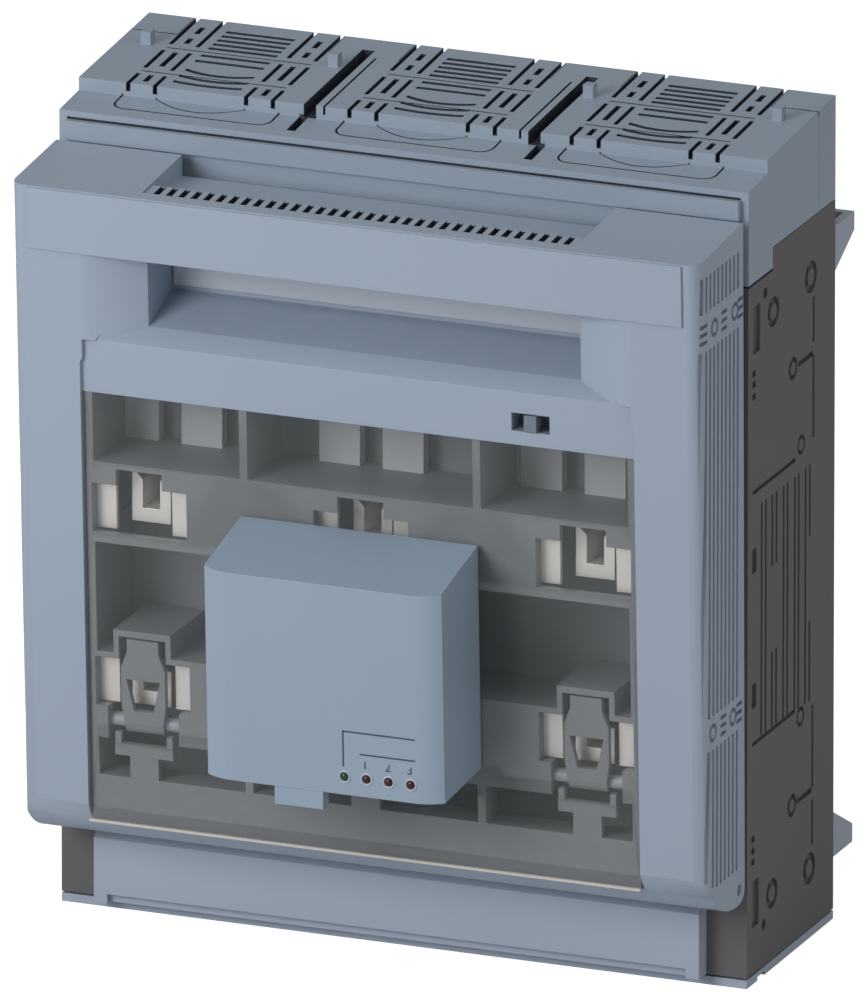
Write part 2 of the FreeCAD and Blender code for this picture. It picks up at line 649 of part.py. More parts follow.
def grille_tools():
    """Grooves in the right-hand side of the carrier, broken by two bands with rings and bars."""
    half = CARRIER_WIDTH / 2
    depth = 1.5
    tools = []
    for i in range(GRILLE_COUNT):
        y = -42.0 + i * GRILLE_PITCH
        low = GRILLE_LOW + max(0.0, 8.0 - i * 2.4)
        for z0, z1 in ((low, BAND_LOW[0]), (BAND_LOW[1], BAND_HIGH[0]), (BAND_HIGH[1], GRILLE_HIGH)):
            tools.append(box(half - depth, half + 1, y - GRILLE_GROOVE / 2, y + GRILLE_GROOVE / 2, z0, z1))
    for z, circles in ((103.0, (-31.1, -12.4)), (249.5, (-30.6, -11.5))):
        for y in circles:
            ring = cylinder((half - depth, y, z), (1, 0, 0), 3.4, depth + 1)
            tools.append(ring.cut(cylinder((half - depth, y, z), (1, 0, 0), 1.9, depth + 1)))
        for y in (-40.0, -21.5, -6.5):
            for step in (-3.0, 0.0, 3.0):
                tools.append(box(half - depth, half + 1, y - 2.6, y + 2.6, z + step - 0.7, z + step + 0.7))
    return tools


def carrier_frame():
    body = rounded_columns(carrier_block(CARRIER_WIDTH / 2))
    half_window = WINDOW_WIDTH / 2
    inner = half_window + SHELL
    outer = CARRIER_WIDTH / 2 - SHELL
    tools = [box(-half_window, half_window, -60, 10, WINDOW_LOW, WINDOW_HIGH)]
    for side in (-1, 1):
        x0, x1 = sorted((side * inner, side * outer))
        column = leaning_slab(SHELL + 3, 60, x0, x1, CARRIER_CURVE_Z + 2, CARRIER_TOP_Z - SHELL - 1)
        tools.append(column)
        tools.append(box(x0, x1, HINGE_Y - 12, 10, HINGE_Z - 2.5, CARRIER_CURVE_Z + 3))
        tools.append(box(x0, x1, HINGE_Y - 7.4, 10, 20, HINGE_Z + 10))
    tools.append(leaning_slab(SHELL + 3, 60, -outer, outer, GRIP_TOP + SHELL, CARRIER_TOP_Z - 14))
    tools.append(box(-half_window + SHELL, half_window - SHELL, -34, 10, WINDOW_LOW - 1, LOWER_BAR_TOP - SHELL))
    tools.append(box(-GRIP_HALF, GRIP_HALF, GRIP_REAR_Y + SHELL, 10, LOWER_BAR_TOP - 5, GRIP_TOP + 8))
    tools.append(lower_bar_recess())
    tools.append(grip_tool())
    tools.append(trough_tool())
    tools += comb_tools()
    side = grille_tools()
    tools += side + [mirrored(tool) for tool in side]
    slot = (SLOT_X - SLOT_WIDTH / 2, SLOT_X + SLOT_WIDTH / 2, -60, -30, SLOT_Z - SLOT_HEIGHT / 2, SLOT_Z + SLOT_HEIGHT / 2)
    tools.append(box(*slot))
    tools += [centred_x(HINGE_Y, HINGE_Z, HINGE_PIN_R, x, 40) for x in (-ear_x(), ear_x())]
    body = cut(body, tools)
    panel = leaning_slab(-0.8, 1.2, -TOP_BAR_WIDTH / 2, TOP_BAR_WIDTH / 2, GRIP_TOP, CARRIER_TOP_Z - 0.6)
    return union([body, panel])


def hinge_pin(side):
    length = CARRIER_WIDTH / 2 - WINDOW_WIDTH / 2 - 1.5
    return centred_x(HINGE_Y, HINGE_Z, HINGE_PIN_R, side * ear_x(), length)


def window():
    half = WINDOW_WIDTH / 2 - 0.1
    return leaning_slab(0.8, WINDOW_THICKNESS, -half, half, WINDOW_LOW + 0.1, WINDOW_HIGH - 0.1)


def frame_depth():
    return 0.8 + WINDOW_THICKNESS


def inner_plate(x0, x1, z0, z1):
    return leaning_slab(frame_depth(), FRAME_THICKNESS, x0, x1, z0, z1)


def shelf(x0, x1, z0, z1, rear=FRAME_REAR_Y):
    """A wall that runs back from the plate to the rear of the inner frame."""
    points = [(front_y(z0) + frame_depth(), z0), (front_y(z1) + frame_depth(), z1), (rear, z1), (rear, z0)]
    return prism_x(points, x0, x1)


def upper_frame_parts():
    low, high = UPPER_PLATE_LOW, WINDOW_HIGH - 0.1
    half = FRAME_HALF
    parts = [inner_plate(-half, half, low, POCKET_LOW)]
    parts.append(shelf(-half, half, POCKET_LOW - 2, POCKET_LOW))
    for x in (-half, -POCKET_EDGE_X - PARTITION / 2, POCKET_EDGE_X - PARTITION / 2, half - PARTITION):
        parts.append(shelf(x, x + PARTITION, POCKET_LOW - 1, high))
    for x in (-75.0, 0.0, 75.0):
        for offset in TAB_OFFSETS:
            centre = x + offset
            parts.append(leaning_slab(20, 2, centre - TAB_WIDTH / 2, centre + TAB_WIDTH / 2, TAB_LOW, high))
    parts.append(leaning_slab(20, 2, -half, half, high - 2.5, high))
    return parts


def lower_frame_parts():
    half = FRAME_HALF
    parts = [inner_plate(-half, half, WINDOW_LOW + 0.2, FOOT_POCKET_LOW)]
    parts.append(inner_plate(-half, half, FOOT_POCKET_HIGH, LOWER_PLATE_HIGH))
    parts.append(shelf(-half, half, LOWER_PLATE_HIGH - 1.8, LOWER_PLATE_HIGH))
    for x in (-half, -POCKET_EDGE_X - PARTITION / 2, POCKET_EDGE_X - PARTITION / 2, half - PARTITION):
        parts.append(shelf(x, x + PARTITION, FOOT_POCKET_LOW - 1, LOWER_PLATE_HIGH, -22.0))
    parts.append(shelf(-half, half, FOOT_POCKET_LOW - 2, FOOT_POCKET_LOW, -22.0))
    for x in POLES:
        parts.append(shelf(x - HOOD_WIDTH / 2, x + HOOD_WIDTH / 2, LOWER_PLATE_HIGH - 1, HOOD_TOP))
        parts.append(inner_plate(x - 5.3, x + 5.3, FOOT_POCKET_LOW - 1, 70))
        parts.append(inner_plate(x - 10.8, x + 10.8, 69, FOOT_POCKET_HIGH - 1.4))
    return parts


def frame_openings():
    tools = []
    for x in POLES:
        half = JAW_OPENING / 2
        up = UPPER_OPENING_LOW
        tools.append(box(x - half, x + half, -60, 0, up, up + JAW_OPENING_HEIGHT))
        tools.append(box(x - NOTCH_WIDTH / 2, x + NOTCH_WIDTH / 2, -60, 0, up, NOTCH_TOP))
        low = LOWER_OPENING_LOW
        tools.append(box(x - half, x + half, -60, 0, low, low + JAW_OPENING_HEIGHT))
        tools.append(box(x - 8.7, x + 8.7, -60, 0, low, HOOD_TOP - 2.4))
        tools.append(box(x - SHAFT_LENGTH / 2 + SHAFT_SEAT, x + SHAFT_LENGTH / 2 - SHAFT_SEAT, -60, 0, 74, low + 1))
        depth = front_y(SHAFT_Z) + SHAFT_IN
        tools.append(centred_x(depth, SHAFT_Z, SHAFT_R, x, SHAFT_LENGTH))
    return tools


def inner_frame():
    """Grey moulding behind the window, with pockets, jaw passages and hoods for the latches."""
    half = FRAME_HALF
    rails = [shelf(-half, -half + PARTITION, WINDOW_LOW + 0.2, WINDOW_HIGH - 0.1)]
    rails.append(shelf(half - PARTITION, half, WINDOW_LOW + 0.2, WINDOW_HIGH - 0.1))
    seats = []
    for x in POLES:
        for side in (-1, 1):
            x0, x1 = sorted((x + side * (SHAFT_LENGTH / 2 - SHAFT_SEAT), x + side * (SHAFT_LENGTH / 2 + 2)))
            seats.append(leaning_slab(frame_depth(), SHAFT_IN + SHAFT_R, x0, x1, 76.0, LOWER_OPENING_LOW))
    walls = []
    for x in POLES:
        for side in (-1, 1):
            for low in (UPPER_OPENING_LOW, LOWER_OPENING_LOW):
                x0, x1 = sorted((x + side * JAW_OPENING / 2, x + side * (JAW_OPENING / 2 + 1.6)))
                walls.append(shelf(x0, x1, low - 1, low + JAW_OPENING_HEIGHT, -26.0))
    body = union(rails + upper_frame_parts() + lower_frame_parts() + seats + walls)
    return cut(body, frame_openings())


def side_contacts(low):
    """Silver strips at both sides of each jaw passage, on the walls of the passage."""
    strips = []
    for x in POLES:
        for side in (-1, 1):
            x0, x1 = sorted((x + side * JAW_OPENING / 2, x + side * (JAW_OPENING / 2 - SIDE_CONTACT_WIDTH)))
            z0, z1 = low + 0.4, low + JAW_OPENING_HEIGHT - 0.4
            strips.append(leaning_slab(frame_depth() + SIDE_CONTACT_IN, SIDE_CONTACT_THICKNESS, x0, x1, z0, z1))
    return group(strips)


def latch_shaft(x):
    return centred_x(front_y(SHAFT_Z) + SHAFT_IN, SHAFT_Z, SHAFT_R, x, SHAFT_LENGTH)


def fuse_latch(x):
    """Bottle-shaped latch plate with a tapered window, on a barrel round its shaft."""
    neck, wide, top = LATCH_NECK / 2, LATCH_WIDE / 2, LATCH_TOP - 1
    outline = [(x - neck, top), (x - neck, 107.5), (x - wide, 101.5), (x - wide, 88.0), (x - wide + 1, SHAFT_Z)]
    outline += [(2 * x - px, pz) for px, pz in reversed(outline)]
    plate = prism_y(outline, -60, 0)
    slab = leaning_slab(frame_depth() + GAP, LATCH_THICKNESS, x - wide, x + wide, SHAFT_Z - 1, top)
    plate = plate.common(slab)
    axis_y = front_y(SHAFT_Z) + SHAFT_IN
    barrel = centred_x(axis_y, SHAFT_Z, LATCH_BARREL_R, x, LATCH_WIDE - 2)
    body = union([plate, barrel])
    hole = prism_y([(x - 6.3, 97.2), (x + 6.3, 97.2), (x + 3.5, 85.6), (x - 3.5, 85.6)], -60, 0)
    bore = centred_x(axis_y, SHAFT_Z, SHAFT_R + HINGE_CLEARANCE, x, LATCH_WIDE + 2)
    return body.cut(hole).cut(bore)


def lock_slide():
    """Knob in the slot, on a plate that runs behind the lower bar."""
    y0 = front_y(SLOT_Z) + 1.6
    knob = box(SLOT_X - KNOB_WIDTH / 2, SLOT_X + KNOB_WIDTH / 2, y0 - KNOB_PROUD, -33.5, SLOT_Z - 2.9, SLOT_Z + 2.9)
    plate = box(SLOT_X - SLOT_WIDTH / 2 - 3, SLOT_X + SLOT_WIDTH / 2 + 3, -33.6, -31.6, SLOT_Z - 5.5, SLOT_Z + 5.5)
    return union([knob, plate])


def grip_liner():
    return box(-GRIP_HALF + 0.5, GRIP_HALF - 0.5, GRIP_REAR_Y - 1.2, GRIP_REAR_Y, LOWER_BAR_TOP + 14, GRIP_TOP - 0.5)


def monitor_front_y(z):
    return front_y(z) - MONITOR_DEPTH


def monitor_outline(inset):
    """Side outline of the monitor box, from the back round the top to the bottom."""
    top_back = (front_y(MONITOR_REAR_TOP) + 0.8, MONITOR_REAR_TOP - inset)
    top_front = (monitor_front_y(MONITOR_FRONT_TOP) + inset, MONITOR_FRONT_TOP - inset)
    low_front = (monitor_front_y(MONITOR_FRONT_LOW) + inset, MONITOR_FRONT_LOW + inset)
    low_back = (front_y(MONITOR_REAR_LOW) + 0.8, MONITOR_REAR_LOW + inset)
    return [top_back, top_front, low_front, low_back]


def monitor_housing():
    half = MONITOR_WIDTH / 2
    body = prism_x(monitor_outline(0), -half, half)
    edges = []
    for edge in body.Edges:
        middle = edge.CenterOfMass
        if abs(abs(middle.x) - half) < 0.01 and edge.BoundBox.ZLength > 50 and middle.y < front_y(120) - 20:
            edges.append(edge)
    body = body.makeFillet(MONITOR_EDGE_R, edges)
    inner = prism_x(monitor_outline(MONITOR_WALL), -half + MONITOR_WALL, half - MONITOR_WALL)
    inner_edges = []
    for edge in inner.Edges:
        middle = edge.CenterOfMass
        if edge.BoundBox.ZLength > 50 and middle.y < front_y(120) - 20:
            inner_edges.append(edge)
    inner = inner.makeFillet(MONITOR_EDGE_R - MONITOR_WALL, inner_edges)
    body = body.cut(inner)
    z0 = MONITOR_FRONT_LOW - MONITOR_TAB_DROP
    y0 = monitor_front_y(MONITOR_FRONT_LOW)
    tab = box(MONITOR_TAB_X[0], MONITOR_TAB_X[1], y0, y0 + MONITOR_TAB_DEPTH, z0, MONITOR_FRONT_LOW + 1)
    body = union([body, tab])
    holes = []
    for x in lamp_places():
        holes.append(cylinder((x, y0 - 5, LAMP_Z), (0, 1, 0), LAMP_R + 0.05, MONITOR_WALL + 8))
    return cut(body, holes)


def lamp_places():
    return [LAMP_FIRST_X + i * LAMP_PITCH for i in range(LAMP_COUNT)]


def lamp(x):
    y0 = monitor_front_y(LAMP_Z) + 0.4
    body = cylinder((x, y0, LAMP_Z), (0, 1, 0), LAMP_R, 7.0)
    flange = cylinder((x, y0 + MONITOR_WALL + 0.6, LAMP_Z), (0, 1, 0), LAMP_R + 0.6, 7.0 - MONITOR_WALL - 0.6)
    return union([body, flange])


def circuit_board():
    y0 = monitor_front_y(LAMP_Z) + 7.4
    half = MONITOR_WIDTH / 2 - MONITOR_WALL - GAP
    return box(-half, half, y0, y0 + BOARD_THICKNESS, MONITOR_REAR_LOW + MONITOR_WALL, MONITOR_FRONT_TOP - 6)


def nodes():
    made = {
        "chassis": chassis(),
        "rear_frame": rear_frame(),
        "top_cover": top_cover(),
        "top_cover_strip": top_strip(),
        "bottom_cover": bottom_cover(),
        "bottom_tray": tray(),
        "contact_cover": contact_cover(),
        "carrier_frame": carrier_frame(),
        "grip_liner": grip_liner(),
        "clear_window": window(),
        "inner_frame": inner_frame(),
        "upper_side_contacts": side_contacts(UPPER_OPENING_LOW),
        "lower_side_contacts": side_contacts(LOWER_OPENING_LOW),
        "upper_jaw_clips": jaw_clips(UPPER_JAW_LOW, UPPER_JAW_TIP),
        "lower_jaw_clips": jaw_clips(LOWER_JAW_LOW, LOWER_JAW_TIP),
        "terminal_bolts": terminal_bolts(),
        "terminal_washers": terminal_washers(),
        "lock_slide": lock_slide(),
        "monitor_housing": monitor_housing(),
        "monitor_circuit_board": circuit_board(),
        "hinge_pin_left": hinge_pin(-1),
        "hinge_pin_right": hinge_pin(1),
        "foot_upper_left": foot(-1, True),
        "foot_upper_right": foot(1, True),
        "foot_lower_left": foot(-1, False),
        "foot_lower_right": foot(1, False),
    }
    for number, x in enumerate(POLES, 1):
        made["upper_jaw_%d" % number] = jaw(x, UPPER_JAW_LOW, UPPER_JAW_TIP)
        made["lower_jaw_%d" % number] = jaw(x, LOWER_JAW_LOW, LOWER_JAW_TIP)
        made["upper_terminal_bar_%d" % number] = terminal_bar(x, True)
        made["lower_terminal_bar_%d" % number] = terminal_bar(x, False)
        made["arc_plates_%d" % number] = arc_plates(x)
        made["latch_shaft_%d" % number] = latch_shaft(x)
        made["fuse_latch_%d" % number] = fuse_latch(x)
    for number, x in enumerate(lamp_places(), 1):
        made["status_lamp_%d" % number] = lamp(x)
    return made


def main():
    os.makedirs("parts", exist_ok=True)
    made = nodes()
    boxes = [shape.BoundBox for shape in made.values()]
    middle_y = (min(b.YMin for b in boxes) + max(b.YMax for b in boxes)) / 2
    for name, shape in made.items():
        shape.translate(V(0, -middle_y, 0))
        shape.exportStep("parts/%s.step" % name)
    print("nodes", len(made), "middle y", round(middle_y, 3))
    print("box z", min(b.ZMin for b in boxes), max(b.ZMax for b in boxes))


main()
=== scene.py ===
# %% [markdown]
# A three-pole fuse switch disconnector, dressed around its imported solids. The solids hold the true sizes,
# so this script gives them their finishes and adds what is too fine for them. Everything is in metres.

# %% Load the frame
import bmesh
import bpy
import math
from mathutils import Matrix, Vector


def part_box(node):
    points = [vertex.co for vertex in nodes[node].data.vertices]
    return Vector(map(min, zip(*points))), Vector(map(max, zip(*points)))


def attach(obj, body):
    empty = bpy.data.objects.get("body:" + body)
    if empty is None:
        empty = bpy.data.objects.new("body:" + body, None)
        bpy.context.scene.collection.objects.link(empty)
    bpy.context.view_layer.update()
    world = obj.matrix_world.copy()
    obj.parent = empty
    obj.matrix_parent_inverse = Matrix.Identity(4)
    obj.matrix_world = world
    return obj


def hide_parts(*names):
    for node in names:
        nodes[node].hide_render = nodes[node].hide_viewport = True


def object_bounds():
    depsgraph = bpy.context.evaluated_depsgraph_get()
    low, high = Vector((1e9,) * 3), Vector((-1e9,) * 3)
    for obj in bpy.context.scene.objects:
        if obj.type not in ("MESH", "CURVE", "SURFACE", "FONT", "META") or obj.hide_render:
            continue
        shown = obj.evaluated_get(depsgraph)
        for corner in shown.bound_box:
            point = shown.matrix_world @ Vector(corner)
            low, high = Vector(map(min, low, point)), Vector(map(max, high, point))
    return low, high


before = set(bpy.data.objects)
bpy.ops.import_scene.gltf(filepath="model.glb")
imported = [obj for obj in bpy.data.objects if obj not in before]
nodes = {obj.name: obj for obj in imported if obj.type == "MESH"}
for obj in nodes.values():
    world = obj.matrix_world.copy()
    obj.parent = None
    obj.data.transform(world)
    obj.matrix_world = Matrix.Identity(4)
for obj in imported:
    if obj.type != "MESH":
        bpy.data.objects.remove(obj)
cad_low, cad_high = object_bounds()
MM = 0.001
print("solids", len(nodes))
print("box from", [round(v / MM, 1) for v in cad_low], "to", [round(v / MM, 1) for v in cad_high])

# %% [markdown]
# The reference view has no vanishing points. An orthographic camera would show that, and so does one that
# stands far off with a very long lens, as here. Its direction and its aim are two angles and one point on
# the object.

# %% Camera
VIEW_AZIMUTH = math.radians(21.87)
VIEW_ELEVATION = math.radians(18.15)
PIXELS_PER_METRE = 2896.0
FRAME_LONG_SIDE = 1000.0
SENSOR = 36.0
LENS = 1400.0
AIM = Vector((11.35, -12.93, 163.7)) * MM


def direction(azimuth, elevation):
    """Unit vector from the object towards a viewer at these angles."""
    flat = math.cos(elevation)
    return Vector((math.sin(azimuth) * flat, -math.cos(azimuth) * flat, math.sin(elevation)))


camera_data = bpy.data.cameras.new("camera")
camera = bpy.data.objects.new("camera", camera_data)
bpy.context.scene.collection.objects.link(camera)
camera_data.sensor_width = SENSOR
camera_data.lens = LENS
back = direction(VIEW_AZIMUTH, VIEW_ELEVATION)
distance = FRAME_LONG_SIDE / PIXELS_PER_METRE * LENS / SENSOR
camera.location = AIM + back * distance
camera.rotation_euler = (-back).to_track_quat("-Z", "Y").to_euler()
camera_data.clip_start = 1.0
camera_data.clip_end = 100.0
bpy.context.scene.camera = camera
print("camera distance", round(distance, 2), "m")

# %% [markdown]
# Soft studio light: a large key from the front left, weaker lamps from above and from the right, and an
# even sky. Round area lamps are used because their shadows have soft edges. The sky is white for what the
# lens and the clear plastic see, and dimmer for what it lights.

# %% Light
def soft_lamp(name, azimuth, elevation, away, size, power):
    lamp = bpy.data.lights.new(name, "AREA")
    lamp.shape = "DISK"
    lamp.size = size
    lamp.energy = power
    holder = bpy.data.objects.new(name, lamp)
    bpy.context.scene.collection.objects.link(holder)
    towards = direction(math.radians(azimuth), math.radians(elevation))
    holder.location = AIM + towards * away
    holder.rotation_euler = (-towards).to_track_quat("-Z", "Y").to_euler()
    return holder


soft_lamp("key", -28, 22, 1.6, 0.9, 13.5)
soft_lamp("top", 10, 78, 1.6, 1.0, 3.0)
soft_lamp("fill", 78, 24, 1.6, 1.2, 3.4)

SKY_LIGHT = 0.26
world = bpy.data.worlds.new("studio")
bpy.context.scene.world = world
world.use_nodes = True
sky = world.node_tree
sky.nodes.clear()
path = sky.nodes.new("ShaderNodeLightPath")
seen = sky.nodes.new("ShaderNodeMath")
seen.operation = "MAXIMUM"
sky.links.new(path.outputs["Is Camera Ray"], seen.inputs[0])
sky.links.new(path.outputs["Is Transmission Ray"], seen.inputs[1])
strength = sky.nodes.new("ShaderNodeMapRange")
strength.inputs["To Min"].default_value = SKY_LIGHT
strength.inputs["To Max"].default_value = 1.0
sky.links.new(seen.outputs[0], strength.inputs["Value"])
background = sky.nodes.new("ShaderNodeBackground")
background.inputs["Color"].default_value = (1.0, 1.0, 1.0, 1.0)
sky.links.new(strength.outputs["Result"], background.inputs["Strength"])
world_output = sky.nodes.new("ShaderNodeOutputWorld")
sky.links.new(background.outputs[0], world_output.inputs["Surface"])
bpy.context.scene.view_settings.view_transform = "Standard"
print("sky light", SKY_LIGHT)

# %% [markdown]
# The finishes here are moulded plastics and plain metals, and they share two effects: a fine grain that
# breaks the gloss, and a faint change of shade over some centimetres. Each could be built anew in every
# material. As a node group with named sockets it is built once and placed with its own values.

# %% Shader groups
def srgb(red, green, blue):
    """A colour written as 0 to 255, as the shader wants it."""
    def linear(value):
        value /= 255.0
        return value / 12.92 if value <= 0.04045 else ((value + 0.055) / 1.055) ** 2.4
    return (linear(red), linear(green), linear(blue), 1.0)


def new_group(name, inputs, outputs):
    group = bpy.data.node_groups.new(name, "ShaderNodeTree")
    for socket, kind, value in inputs:
        made = group.interface.new_socket(name=socket, in_out="INPUT", socket_type=kind)
        if value is not None:
            made.default_value = value
    for socket, kind in outputs:
        group.interface.new_socket(name=socket, in_out="OUTPUT", socket_type=kind)
    return group, group.nodes.new("NodeGroupInput"), group.nodes.new("NodeGroupOutput")


def grain_group():
    """Fine erosion of a moulded skin: a height for Bump and a roughness that goes with it."""
    inputs = [("Grain per metre", "NodeSocketFloat", 1500.0), ("Roughness", "NodeSocketFloat", 0.4)]
    inputs.append(("Roughness change", "NodeSocketFloat", 0.08))
    outputs = [("Height", "NodeSocketFloat"), ("Roughness", "NodeSocketFloat")]
    group, start, end = new_group("moulded_grain", inputs, outputs)
    make, link = group.nodes.new, group.links.new
    place = make("ShaderNodeTexCoord")
    noise = make("ShaderNodeTexNoise")
    noise.inputs["Detail"].default_value = 3.0
    link(place.outputs["Object"], noise.inputs["Vector"])
    link(start.outputs["Grain per metre"], noise.inputs["Scale"])
    link(noise.outputs["Fac"], end.inputs["Height"])
    shift = make("ShaderNodeMath")
    shift.operation = "SUBTRACT"
    shift.inputs[1].default_value = 0.5
    link(noise.outputs["Fac"], shift.inputs[0])
    spread = make("ShaderNodeMath")
    spread.operation = "MULTIPLY_ADD"
    link(shift.outputs[0], spread.inputs[0])
    link(start.outputs["Roughness change"], spread.inputs[1])
    link(start.outputs["Roughness"], spread.inputs[2])
    link(spread.outputs[0], end.inputs["Roughness"])
    return group


def shade_group():
    """Slow change of shade over a moulding, as pigment and flow leave it."""
    inputs = [("Colour", "NodeSocketColor", (0.5, 0.5, 0.5, 1.0)), ("Change", "NodeSocketFloat", 0.05)]
    inputs.append(("Patches per metre", "NodeSocketFloat", 14.0))
    group, start, end = new_group("moulded_shade", inputs, [("Colour", "NodeSocketColor")])
    make, link = group.nodes.new, group.links.new
    place = make("ShaderNodeTexCoord")
    noise = make("ShaderNodeTexNoise")
    noise.inputs["Detail"].default_value = 2.0
    link(place.outputs["Object"], noise.inputs["Vector"])
    link(start.outputs["Patches per metre"], noise.inputs["Scale"])
    shift = make("ShaderNodeMath")
    shift.operation = "SUBTRACT"
    shift.inputs[1].default_value = 0.5
    link(noise.outputs["Fac"], shift.inputs[0])
    factor = make("ShaderNodeMath")
    factor.operation = "MULTIPLY_ADD"
    factor.inputs[2].default_value = 1.0
    link(shift.outputs[0], factor.inputs[0])
    link(start.outputs["Change"], factor.inputs[1])
    scale = make("ShaderNodeVectorMath")
    scale.operation = "SCALE"
    link(start.outputs["Colour"], scale.inputs[0])
    link(factor.outputs[0], scale.inputs["Scale"])
    link(scale.outputs[0], end.inputs["Colour"])
    return group


GRAIN = grain_group()
SHADE = shade_group()
print("groups", GRAIN.name, SHADE.name)

# %% [markdown]
# One function makes each finish from the two groups. The Bevel node lets light roll over the edges as if
# they had a small radius, as moulded edges do. Rounding the meshes themselves would do the same with many
# more faces.

# %% Finishes
EDGE_RADIUS = 0.35 * MM


def finish(
    name, colour, roughness, metallic=0.0, grain=1500.0, bump=0.04, change=0.05, edge=EDGE_RADIUS, alpha=1.0
):
    """A moulded or metal finish from the two groups."""
    material = bpy.data.materials.new(name)
    material.use_nodes = True
    tree = material.node_tree
    shader = tree.nodes["Principled BSDF"]
    shader.inputs["Metallic"].default_value = metallic
    shader.inputs["Alpha"].default_value = alpha
    skin = tree.nodes.new("ShaderNodeGroup")
    skin.node_tree = GRAIN
    skin.inputs["Grain per metre"].default_value = grain
    skin.inputs["Roughness"].default_value = roughness
    tree.links.new(skin.outputs["Roughness"], shader.inputs["Roughness"])
    tint = tree.nodes.new("ShaderNodeGroup")
    tint.node_tree = SHADE
    tint.inputs["Colour"].default_value = colour
    tint.inputs["Change"].default_value = change
    tree.links.new(tint.outputs["Colour"], shader.inputs["Base Color"])
    relief = tree.nodes.new("ShaderNodeBump")
    relief.inputs["Strength"].default_value = bump
    relief.inputs["Distance"].default_value = 0.2 * MM
    tree.links.new(skin.outputs["Height"], relief.inputs["Height"])
    if edge:
        rounding = tree.nodes.new("ShaderNodeBevel")
        rounding.samples = 4
        rounding.inputs["Radius"].default_value = edge
        tree.links.new(rounding.outputs["Normal"], relief.inputs["Normal"])
    tree.links.new(relief.outputs["Normal"], shader.inputs["Normal"])
    return material


CARRIER_BLUE = finish("carrier_blue_grey", srgb(156, 170, 187), 0.4)
COVER_BLUE = finish("cover_blue_grey", srgb(150, 165, 181), 0.42)
MONITOR_BLUE = finish("monitor_blue_grey", srgb(148, 166, 184), 0.36)
# Painted light: the covers' own blue grey, made lighter for the lower covers and feet to paint in light
# that the lamps don't give them here.
LOW_COVER_BLUE_PAINTED_LIGHTER = finish("lower_cover_blue_painted_lighter", srgb(166, 177, 194), 0.42)
# Painted shade: a dark blue for the walls of slots, gaps and the comb, standing in for the shade inside
# them.
PAINTED_GAP_SHADE = finish("painted_gap_shade", srgb(44, 55, 68), 0.7, bump=0.0, edge=0.0)
BASE_DARK = finish("base_dark_moulding", srgb(98, 98, 99), 0.55, grain=1100.0, bump=0.08)
GREY_MOULDING = finish("inner_grey_moulding", srgb(134, 138, 142), 0.5)
# Painted light: a paler copy of the inner grey for the pillars, which paints in light that their deep place
# behind the window doesn't get.
PILLAR_PAINTED_LIGHT = finish("pillar_grey_painted_light", srgb(196, 199, 203), 0.5)
SILVER = finish("silvered_copper", srgb(248, 245, 240), 0.36, metallic=0.45, bump=0.02)
STEEL = finish("bright_steel", srgb(196, 198, 202), 0.3, metallic=1.0, bump=0.02)
SHAFT_GREY = finish("latch_shaft_plastic", srgb(165, 170, 180), 0.35)
BOARD_GREEN = finish("circuit_board", srgb(24, 84, 56), 0.35)
LAMP_GREEN = finish("lamp_green", srgb(10, 70, 34), 0.12, edge=0.0, bump=0.0)
LAMP_RED = finish("lamp_red", srgb(62, 12, 20), 0.12, edge=0.0, bump=0.0)
RIM_PALE = finish("pale_rim", srgb(174, 186, 200), 0.4, edge=0.0)
# Painted highlight: a pale colour for the window's lower lip, standing in for the light its curve catches.
LIP_PAINTED_HIGHLIGHT = finish("window_lip_painted_highlight", srgb(206, 200, 194), 0.4, edge=0.0)
SLIDE_BLUE = finish("slide_blue_grey", srgb(112, 124, 138), 0.4)
# Painted light: a paler copy of the carrier blue for the grip's rear wall, which paints in the light that
# the wall catches.
LINER_PAINTED_LIGHT = finish("grip_liner_painted_light", srgb(186, 193, 204), 0.45)
CLEAR = finish("clear_window", srgb(150, 156, 156), 0.08, edge=0.0, bump=0.0, alpha=0.1)
INK = finish("dark_ink", srgb(62, 76, 92), 0.6, edge=0.0)

# %% [markdown]
# Each solid gets its finish by its name. The start of a name is enough where a row of like pieces shares
# one finish.

# %% Finishes on the solids
FINISH_OF = {
    "chassis": BASE_DARK,
    "rear_frame": BASE_DARK,
    "top_cover": COVER_BLUE,
    "bottom_": LOW_COVER_BLUE_PAINTED_LIGHTER,
    "foot_": LOW_COVER_BLUE_PAINTED_LIGHTER,
    "carrier_frame": CARRIER_BLUE,
    "grip_liner": LINER_PAINTED_LIGHT,
    "monitor_housing": MONITOR_BLUE,
    "monitor_circuit_board": BOARD_GREEN,
    "contact_cover": GREY_MOULDING,
    "inner_frame": GREY_MOULDING,
    "fuse_latch_": GREY_MOULDING,
    "clear_window": CLEAR,
    "upper_": SILVER,
    "lower_": SILVER,
    "terminal_": STEEL,
    "arc_plates_": STEEL,
    "hinge_pin_": STEEL,
    "latch_shaft_": SHAFT_GREY,
    "lock_slide": SLIDE_BLUE,
    "status_lamp_1": LAMP_GREEN,
    "status_lamp_": LAMP_RED,
}


def finish_for(name):
    return next(material for start, material in FINISH_OF.items() if name.startswith(start))


for name, node in nodes.items():
    node.data.materials.clear()
    node.data.materials.append(finish_for(name))
print("finishes", len({node.data.materials[0].name for node in nodes.values()}))

# %% [markdown]
# The new pieces below are drawn in millimetres in the maker's own frame: X from the middle, Y back from
# the front plane of the chassis, Z up from the floor. One function turns that into the metres of the
# scene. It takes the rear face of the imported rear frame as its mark, so every piece lands where the
# solids are.

# %% Places in millimetres
BASE_DEPTH = 82.0
ROW_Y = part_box("rear_frame")[1][1] / MM - BASE_DEPTH


def place(x, y, z):
    return Vector((x, y + ROW_Y, z)) * MM


print("front plane of the chassis at y", round(ROW_Y, 2), "mm")

